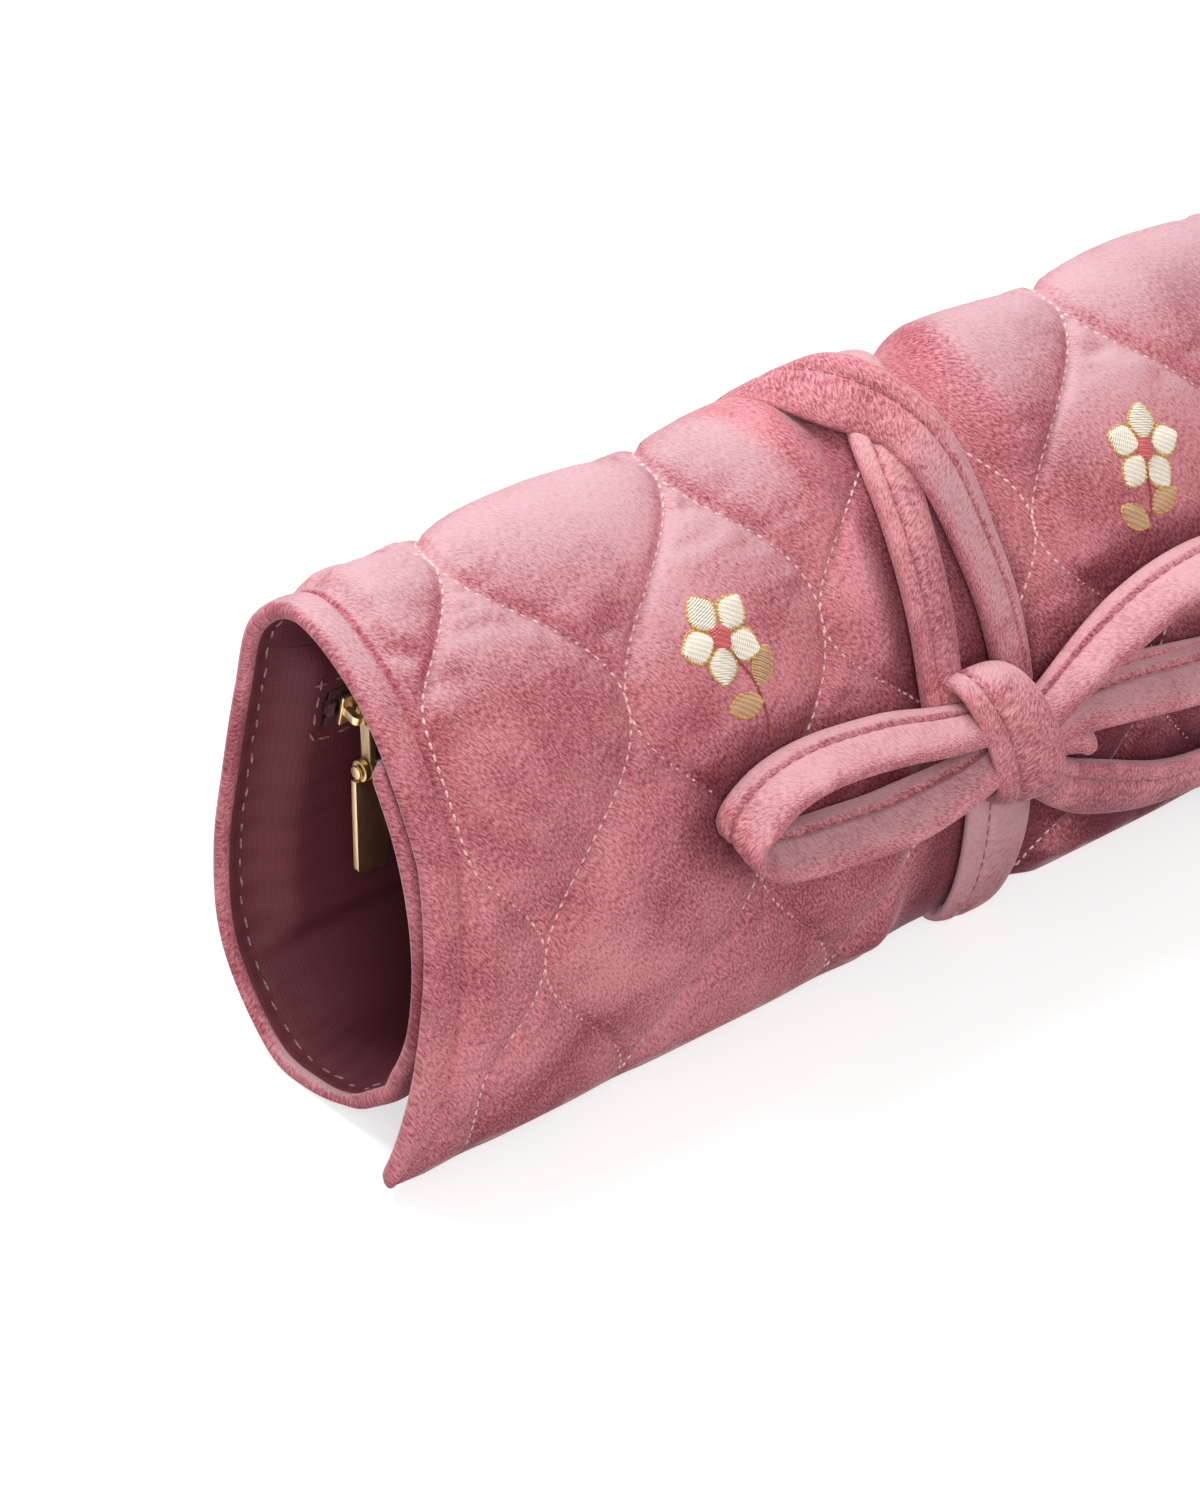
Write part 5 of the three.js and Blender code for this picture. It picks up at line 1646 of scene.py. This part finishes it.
# The strap's foot before the knot gets the painted highlight in place of painted shade.
foot = FOOT_PAINTED_LIGHT * (1 - smooth((to_knot - FOOT_PAINTED_LIGHT_WAY) / FOOT_PAINTED_LIGHT_FADE))
add_strap("strap_band", band, lying_across(band, out_band), width_band, "tie_band", foot)
band_end, out_end, width_end = strap_line(strand(BAND_END_ROUTE))
rolled = CREST_LEAN * np.exp(-((lengths(band_end) - CREST_LEAN_AT) / CREST_LEAN_HALF) ** 2)
across_end = -unit(lying_across(band_end, out_end))
backwards = np.sign(across_end[:, 1])
across_end += (rolled * backwards)[:, None] * out_end
# Along the crossing strand, painted highlight near its start and painted shade further on.
painted_light_end = np.interp(lengths(band_end) / MM, *END_PAINTED_LIGHT)
add_strap("strap_band_end", band_end, across_end, width_end, "tie_band_end", painted_light_end)
print("strand lengths:", [round(lengths(line)[-1] / MM) for line in (band, band_end)], "mm")

# %% [markdown]
# ## Bow
#
# The bow's loops stand on their edges, so one looks into them from the side. The knot is a turn of
# strap over everything. Its paths are given as (x, way from the flap's tip, rise), as read from the
# photograph on the flap's surface.

# %% Loops, tails and knot
LOOP_LEFT = [
    (-4, 46.5, 8), (-12, 49, 8.4), (-20, 50.6, 8.5), (-30, 52.8, 8.5), (-44, 54.4, 8.5),
    (-54, 53.8, 8.5), (-61, 51.2, 8.5), (-63.6, 48.2, 8.5), (-61, 45, 8.5), (-54, 42.8, 8.5),
    (-44, 41.5, 8.5), (-30, 40.2, 8.5), (-14, 40.9, 8.4), (-5, 43, 8),
]
LOOP_RIGHT = [
    (3, 46.5, 9), (6, 48, 9.3), (14.5, 51.8, 9.6), (26, 55.6, 9.8), (36, 57.7, 10),
    (47, 58, 10), (58, 56, 10), (65, 51.5, 10), (65.5, 46.5, 10), (58, 42, 10),
    (46, 40.5, 10), (35, 41.5, 9.8), (24, 43, 9.6), (10, 44, 9.2), (3, 43.5, 9),
]
TAIL_LOWER = [
    (2, 36, 8), (7, 32.5, 7.2), (12.5, 29, 6.4), (24, 23.3, 5.4),
    (37, 18.5, 4.9), (49, 16.4, 4.7), (68, 14.6, 4.6), (86, 14, 4.6),
]
TAIL_UPPER = [
    (3, 43, 6), (10, 44, 5.4), (26, 42, 5), (48, 37.8, 4.7), (66, 34.2, 4.6), (80, 32.6, 4.6),
]
FOLD = [(0, 42.6, 8.5), (5, 42.4, 8.9), (9, 41.4, 9), (11.6, 40, 8.6)]
KNOT = [
    (-8.4, 51, 2.8), (-8.8, 54.8, 4.4), (-9, 55.8, 7.2), (-8.6, 54.2, 10.4), (-7.2, 50, 12.9),
    (-5.6, 45, 13.7), (-3.8, 40, 13), (-2.2, 36, 10.8), (-1.2, 33.6, 7.6), (-1.1, 33, 4.2),
    (-1.6, 34.6, 2.2),
]
FOLD_WIDTH = 0.85 * TIE_WIDTH
KNOT_WIDTH = 13 * MM
KNOT_NARROW = 0.8
KNOT_LEAN = 0.32
LOOP_LEAN = math.radians(32)
BOW_STEPS = 16


def bow_path(route):
    """Centre line of a bow's strap, and the direction out of the roll along it."""
    points, out = with_outwards(*(spline(route, BOW_STEPS) * MM).T)
    return evenly(points, STRAP_STEP, out)


def leaning(out):
    """Across a loop's strap: out of the roll, with the outer edge hanging lower."""
    upwards = np.cross(out, ACROSS_ROLL)
    return math.cos(LOOP_LEAN) * out - math.sin(LOOP_LEAN) * upwards


for name, route, node in (
    ("bow_left", LOOP_LEFT, "bow_loop_left"), ("bow_right", LOOP_RIGHT, "bow_loop_right"),
):
    points, out = bow_path(route)
    add_strap(name, points, -leaning(out), pinched(points, ("start", "finish")), node)
for name, route, node in (
    ("tail_low", TAIL_LOWER, "tie_tail_lower"), ("tail_high", TAIL_UPPER, "tie_tail_upper"),
):
    points, out = bow_path(route)
    add_strap(name, points, lying_across(points, out), pinched(points, ("start",)), node)
fold, out_fold = bow_path(FOLD)
ties.append(sweep("bow_fold", fold, -leaning(out_fold), FOLD_WIDTH))
knot, out_knot = bow_path(KNOT)
over_knot = np.sin(np.linspace(0, np.pi, len(knot)))
across_knot = -ACROSS_ROLL - KNOT_LEAN * over_knot[:, None] * out_knot
width_knot = KNOT_WIDTH * (KNOT_NARROW + (1 - KNOT_NARROW) * over_knot)
add_strap("knot", knot, across_knot, width_knot, "tie_knot")
for piece in ties:
    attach(piece, "roll")
    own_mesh(piece)
print("bow pieces:", len(ties))

# %% [markdown]
# ## Painted shade beside the straps
#
# Beside a strap the quilt gets a painted shade: each point of the quilt near a strap gets a lower
# value in the attribute that the velvet's painted highlight and shade are read from. It is measured
# from the straps, so it follows them wherever they are led.

# %% Painted shade beside the straps
STRAP_SHADE_DEPTH = 1.5
STRAP_SHADE_REACH = 8 * MM
STRAP_POINT_SKIP = 5


def mesh_points(thing):
    place = np.zeros(len(thing.data.vertices) * 3, np.float32)
    thing.data.vertices.foreach_get("co", place)
    return place.reshape(-1, 3)


straps = [piece for piece in ties if not piece.name.endswith("_seam")]
on_straps = np.concatenate([mesh_points(strap)[::STRAP_POINT_SKIP] for strap in straps])
nearest = KDTree(len(on_straps))
for i, point in enumerate(on_straps):
    nearest.insert(point, i)
nearest.balance()
for quilt in (velvet_flap, velvet_roll):
    gap = np.array([nearest.find(point)[2] for point in mesh_points(quilt)])
    # Painted shade: the nearer a point lies to a strap, the darker its velvet.
    painted_shade = STRAP_SHADE_DEPTH * np.exp(-(gap / STRAP_SHADE_REACH) ** 2)
    tone = quilt.data.attributes["facing_up"].data
    value = np.zeros(len(gap), np.float32)
    tone.foreach_get("value", value)
    tone.foreach_set("value", (value - painted_shade).astype(np.float32))
    print(quilt.name, "pressed points:", int((gap < STRAP_SHADE_REACH).sum()))

# %% [markdown]
# ## Zip fittings
#
# The slider and its pull come from the frame. They are merged and given soft edges, because real
# stampings have no sharp corner. The press stud of the ring bar is treated the same way.

# %% Fittings with soft edges
FITTING_BEVEL = 0.18 * MM
FITTING_MERGE = 0.001 * MM
FITTING_CORNER = math.radians(35)
FITTING_SHARP = math.radians(40)


def softened(node, name, material, body):
    """A merged copy of a frame piece with rounded edges."""
    mesh = frame["nodes"][node].data.copy()
    mesh.materials.clear()
    mesh.materials.append(material)
    piece = add_object(name, mesh)
    weld = piece.modifiers.new("weld", "WELD")
    weld.merge_threshold = FITTING_MERGE
    rounding = piece.modifiers.new("round", "BEVEL")
    rounding.width = FITTING_BEVEL
    rounding.segments = 3
    rounding.limit_method = "ANGLE"
    rounding.angle_limit = FITTING_CORNER
    keep_made(piece)
    piece.data.shade_smooth()
    piece.data.set_sharp_from_angle(angle=FITTING_SHARP)
    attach(piece, body)
    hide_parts(node)


softened("slider", "zip_slider", pale_gold, "slider")
softened("pull_link", "zip_link", pale_gold, "pull_link")
softened("link_pin", "zip_pin", pale_gold, "pull_tab")
softened("pull_tab", "zip_tab", pale_gold, "pull_tab")
softened("zip_stop_left", "stop_left", tape_thread, "roll")
softened("zip_stop_right", "stop_right", tape_thread, "roll")
softened("snap_stud", "stud", nickel, "ring_bar")
softened("snap_socket", "stud_socket", nickel, "roll")
print("fittings softened")

# %% [markdown]
# ## Zip chain, tapes and pocket
#
# Two woven tapes lie flat in the window of the lining, with a nylon coil along each. The coil is a row
# of beads, so the sewing tree makes it too. Behind them hangs the back of the pocket, a plain piece of
# satin. A sewn rectangle holds the window's edge.

# %% Tapes, coils, pocket back and the seam round the window
ZIP_RISE = -7.7 * MM
TAPE_IN = 1.9 * MM
TAPE_OUT = 4.2 * MM
TAPE_THICKNESS = 0.6 * MM
TAPE_STEP = 0.5 * MM
COIL_AT = 0.85 * MM
COIL_PITCH = 1.5 * MM
COIL_BEADS = {"pitch": COIL_PITCH, "length": 1.0 * MM, "thickness": 1.3 * MM, "askew": 0}
COIL_HALF = 102 * MM
BACKING_RISE = -4.1 * MM
BACKING_INSET = 2 * MM
BACKING_STEP = 2 * MM
WINDOW_SEAM = 2.4 * MM
WINDOW_STEP = 1 * MM
ZIP_STEP = 0.1 * MM
zip_foot, zip_ahead = section_point(np.array([ZIP, ZIP + ZIP_STEP]), np.full(2, ZIP_RISE))
zip_along = unit(zip_ahead - zip_foot)
zip_out = np.array([np.interp(ZIP, section_way, section_out[:, i]) for i in (0, 1)])


def on_zip(x, v, h):
    """Place in the flat plane of the zip: x along it, v down across it, h out of the roll."""
    x, v, h = np.broadcast_arrays(x, v, h)
    yz = zip_foot + v[..., None] * zip_along + h[..., None] * zip_out
    return np.stack([x + MIDDLE_X, yz[..., 0] + MIDDLE_Y, yz[..., 1]], -1)


def flat_piece(name, across, along, step, thickness, place, material):
    """A thin closed sheet with round edges on all sides; place takes it into space."""
    columns = stations(*across, step, ("edge", "edge"), thickness / 2)
    rows = stations(*along, step, ("edge", "edge"), thickness / 2)
    u, b = np.meshgrid(columns, rows, indexing="ij")
    edge = np.minimum(np.minimum(u - across[0], across[1] - u), np.minimum(b - along[0], along[1] - b))
    edge = np.where(edge < ON_EDGE, 0, edge)
    half = thickness / 2 * round_off(2 * edge / thickness)
    outer, inner = (place(u, b, side * half) for side in (1, -1))
    return closed_sheet(name, outer, inner, edge, np.stack([u, b], -1), None, material)


for name, side in (("upper", -1), ("lower", 1)):
    reach = sorted((side * TAPE_IN, side * TAPE_OUT))
    tape = flat_piece(
        f"tape_{name}", (-ZIP_HALF, ZIP_HALF), reach, TAPE_STEP, TAPE_THICKNESS, on_zip, tape_weave,
    )
    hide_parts(f"zip_tape_{name}")
    along = np.arange(-COIL_HALF, COIL_HALF, COIL_PITCH) + side * COIL_PITCH / 4
    coil_line = on_zip(along, side * COIL_AT, 0.0)
    coil = sew(f"coil_{name}", [coil_line], **COIL_BEADS, material=tape_thread)
    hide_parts(f"zip_teeth_{name}")
    for piece in (tape, coil):
        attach(piece, "roll")


def in_pocket(u, b, h):
    return on_sheet(u, b, BACKING_RISE + h)


backing_across = (BACKING_INSET - POCKET_HALF, POCKET_HALF - BACKING_INSET)
backing_along = (POCKET_TOP + BACKING_INSET, POCKET_FOOT - BACKING_INSET)
backing = flat_piece(
    "pocket_back", backing_across, backing_along, BACKING_STEP, LINING_THICKNESS, in_pocket, lining_satin,
)
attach(backing, "roll")
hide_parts("zip_pocket_backing")
seam_u, seam_b = ZIP_HALF + WINDOW_SEAM, WINDOW_HALF + WINDOW_SEAM
corners = np.array([(-1, -1), (1, -1), (1, 1), (-1, 1), (-1, -1)]) * (seam_u, seam_b) + (0, ZIP)
window_line = evenly(corners, WINDOW_STEP)[0]
window_rise = -sheet_depth(ROLL_LENGTH) - pocket_bulge(*window_line.T) - STITCH_RISE
window_path = on_sheet(*window_line.T, window_rise)
window_seam = sew("window_seam", [window_path], **HEM_STITCHES, material=mauve_thread)
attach(window_seam, "roll")
print("zip:", round(2 * ZIP_HALF / MM, 1), "mm of tape")

# %% [markdown]
# ## Ring bar
#
# Rings are kept on a firmly stuffed velvet bar inside the roll. It is swept like the strap, with a round
# section that closes at both ends, and its sewn end is a small flat pad.

# %% Stuffed bar and its sewn end
BAR_END = 7 * MM
BAR_GATHER = 0.3
BAR_STEPS = 150
PAD_STEPS = 12
UPRIGHT = np.array([[0.0, 0.0, 1.0]])


def middle_line(low, high, inset, steps):
    """A line of points along the middle of a box, from end to end but for an inset."""
    x = np.linspace(low[0] + inset, high[0] - inset, steps)
    return np.stack(np.broadcast_arrays(x, *((low + high) / 2)[1:]), -1)


round_angle = np.linspace(0, 2 * np.pi, STRAP_SIDES, endpoint=False)
round_section = np.stack([np.cos(round_angle), np.sin(round_angle)], -1)
bar_low, bar_high = (np.array(corner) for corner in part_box("ring_bar"))
bar_thick = bar_high[2] - bar_low[2]
bar_line = middle_line(bar_low, bar_high, bar_thick * BAR_GATHER / 2, BAR_STEPS)
bar_way = bar_line[:, 0] - bar_line[0, 0]
from_bar_end = np.minimum(bar_way, bar_way[::-1]) / BAR_END
bar_width = bar_thick * (BAR_GATHER + (1 - BAR_GATHER) * round_off(from_bar_end))
bar = sweep("stuffed_bar", bar_line, UPRIGHT, bar_width, round_section, bar_width)
pad_low, pad_high = (np.array(corner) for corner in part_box("ring_bar_anchor"))
pad_size = pad_high - pad_low
pad_line = middle_line(pad_low, pad_high, pad_size[1] / 2, PAD_STEPS)
pad = sweep("bar_pad", pad_line, UPRIGHT, pad_size[2], SECTION, pad_size[1])
for piece, node, body in ((bar, "ring_bar", "ring_bar"), (pad, "ring_bar_anchor", "roll")):
    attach(piece, body)
    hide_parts(node)
print("ring bar:", [round(s / MM, 1) for s in bar_high - bar_low], "mm")

# %% [markdown]
# ## Stage
#
# A plain pale floor and soft light from above and the left, as in a product photograph. The
# background is white to the camera and to metal, and lights the object only at a plain level.

# %% Floor, lights and world
FLOOR_SIZE = 6.0
FLOOR_COLOUR = (0.5, 0.49, 0.49, 1)
FLOOR_GLOW = 0.66
WORLD_LIGHT = 0.45
LAMPS = [
    ("key_lamp", (-0.1, 0.45, 0.95), (0, 0, 0.05), 0.6, 11.0),
    ("fill_lamp", (-0.6, -0.95, 0.75), (-0.05, 0, 0.05), 0.7, 8.0),
]


def seen_directly(tree):
    """1 for rays from the camera, from mirrors and through glass, 0 for light that bounces."""
    path = tree.nodes.new("ShaderNodeLightPath")
    shown = math_node(tree, "MAXIMUM", path.outputs["Is Camera Ray"], path.outputs["Is Glossy Ray"])
    return math_node(tree, "MAXIMUM", shown, path.outputs["Is Transmission Ray"])


def add_floor():
    mesh = bpy.data.meshes.new("floor")
    side = FLOOR_SIZE / 2
    corners = [(-side, -side, 0), (side, -side, 0), (side, side, 0), (-side, side, 0)]
    mesh.from_pydata(corners, [], [(0, 1, 2, 3)])
    material, tree, shader = new_material("floor_paper", Roughness=0.9, Base_Color=FLOOR_COLOUR)
    shader.inputs["Emission Color"].default_value = (1, 1, 1, 1)
    glow = math_node(tree, "MULTIPLY", seen_directly(tree), FLOOR_GLOW)
    tree.links.new(glow, shader.inputs["Emission Strength"])
    mesh.materials.append(material)
    floor = add_object("floor", mesh)


def add_world():
    world = bpy.data.worlds.new("studio")
    world.use_nodes = True
    tree = world.node_tree
    background = tree.nodes["Background"]
    background.inputs["Color"].default_value = (1, 1, 1, 1)
    strength = link_node(tree, "ShaderNodeMix", {"A": WORLD_LIGHT, "B": 1.0}, data_type="FLOAT")
    tree.links.new(seen_directly(tree), strength.inputs["Factor"])
    tree.links.new(strength.outputs["Result"], background.inputs["Strength"])
    bpy.context.scene.world = world


def add_lamp(name, place, target, size, power):
    lamp = add_object(name, bpy.data.lights.new(name, "AREA"))
    lamp.data.shape = "DISK"
    lamp.data.size = size
    lamp.data.energy = power
    lamp.location = place
    lamp.rotation_euler = (Vector(target) - Vector(place)).to_track_quat("-Z", "Y").to_euler()


add_floor()
add_world()
for lamp in LAMPS:
    add_lamp(*lamp)
bpy.context.scene.view_settings.view_transform = "Standard"
print("stage set")
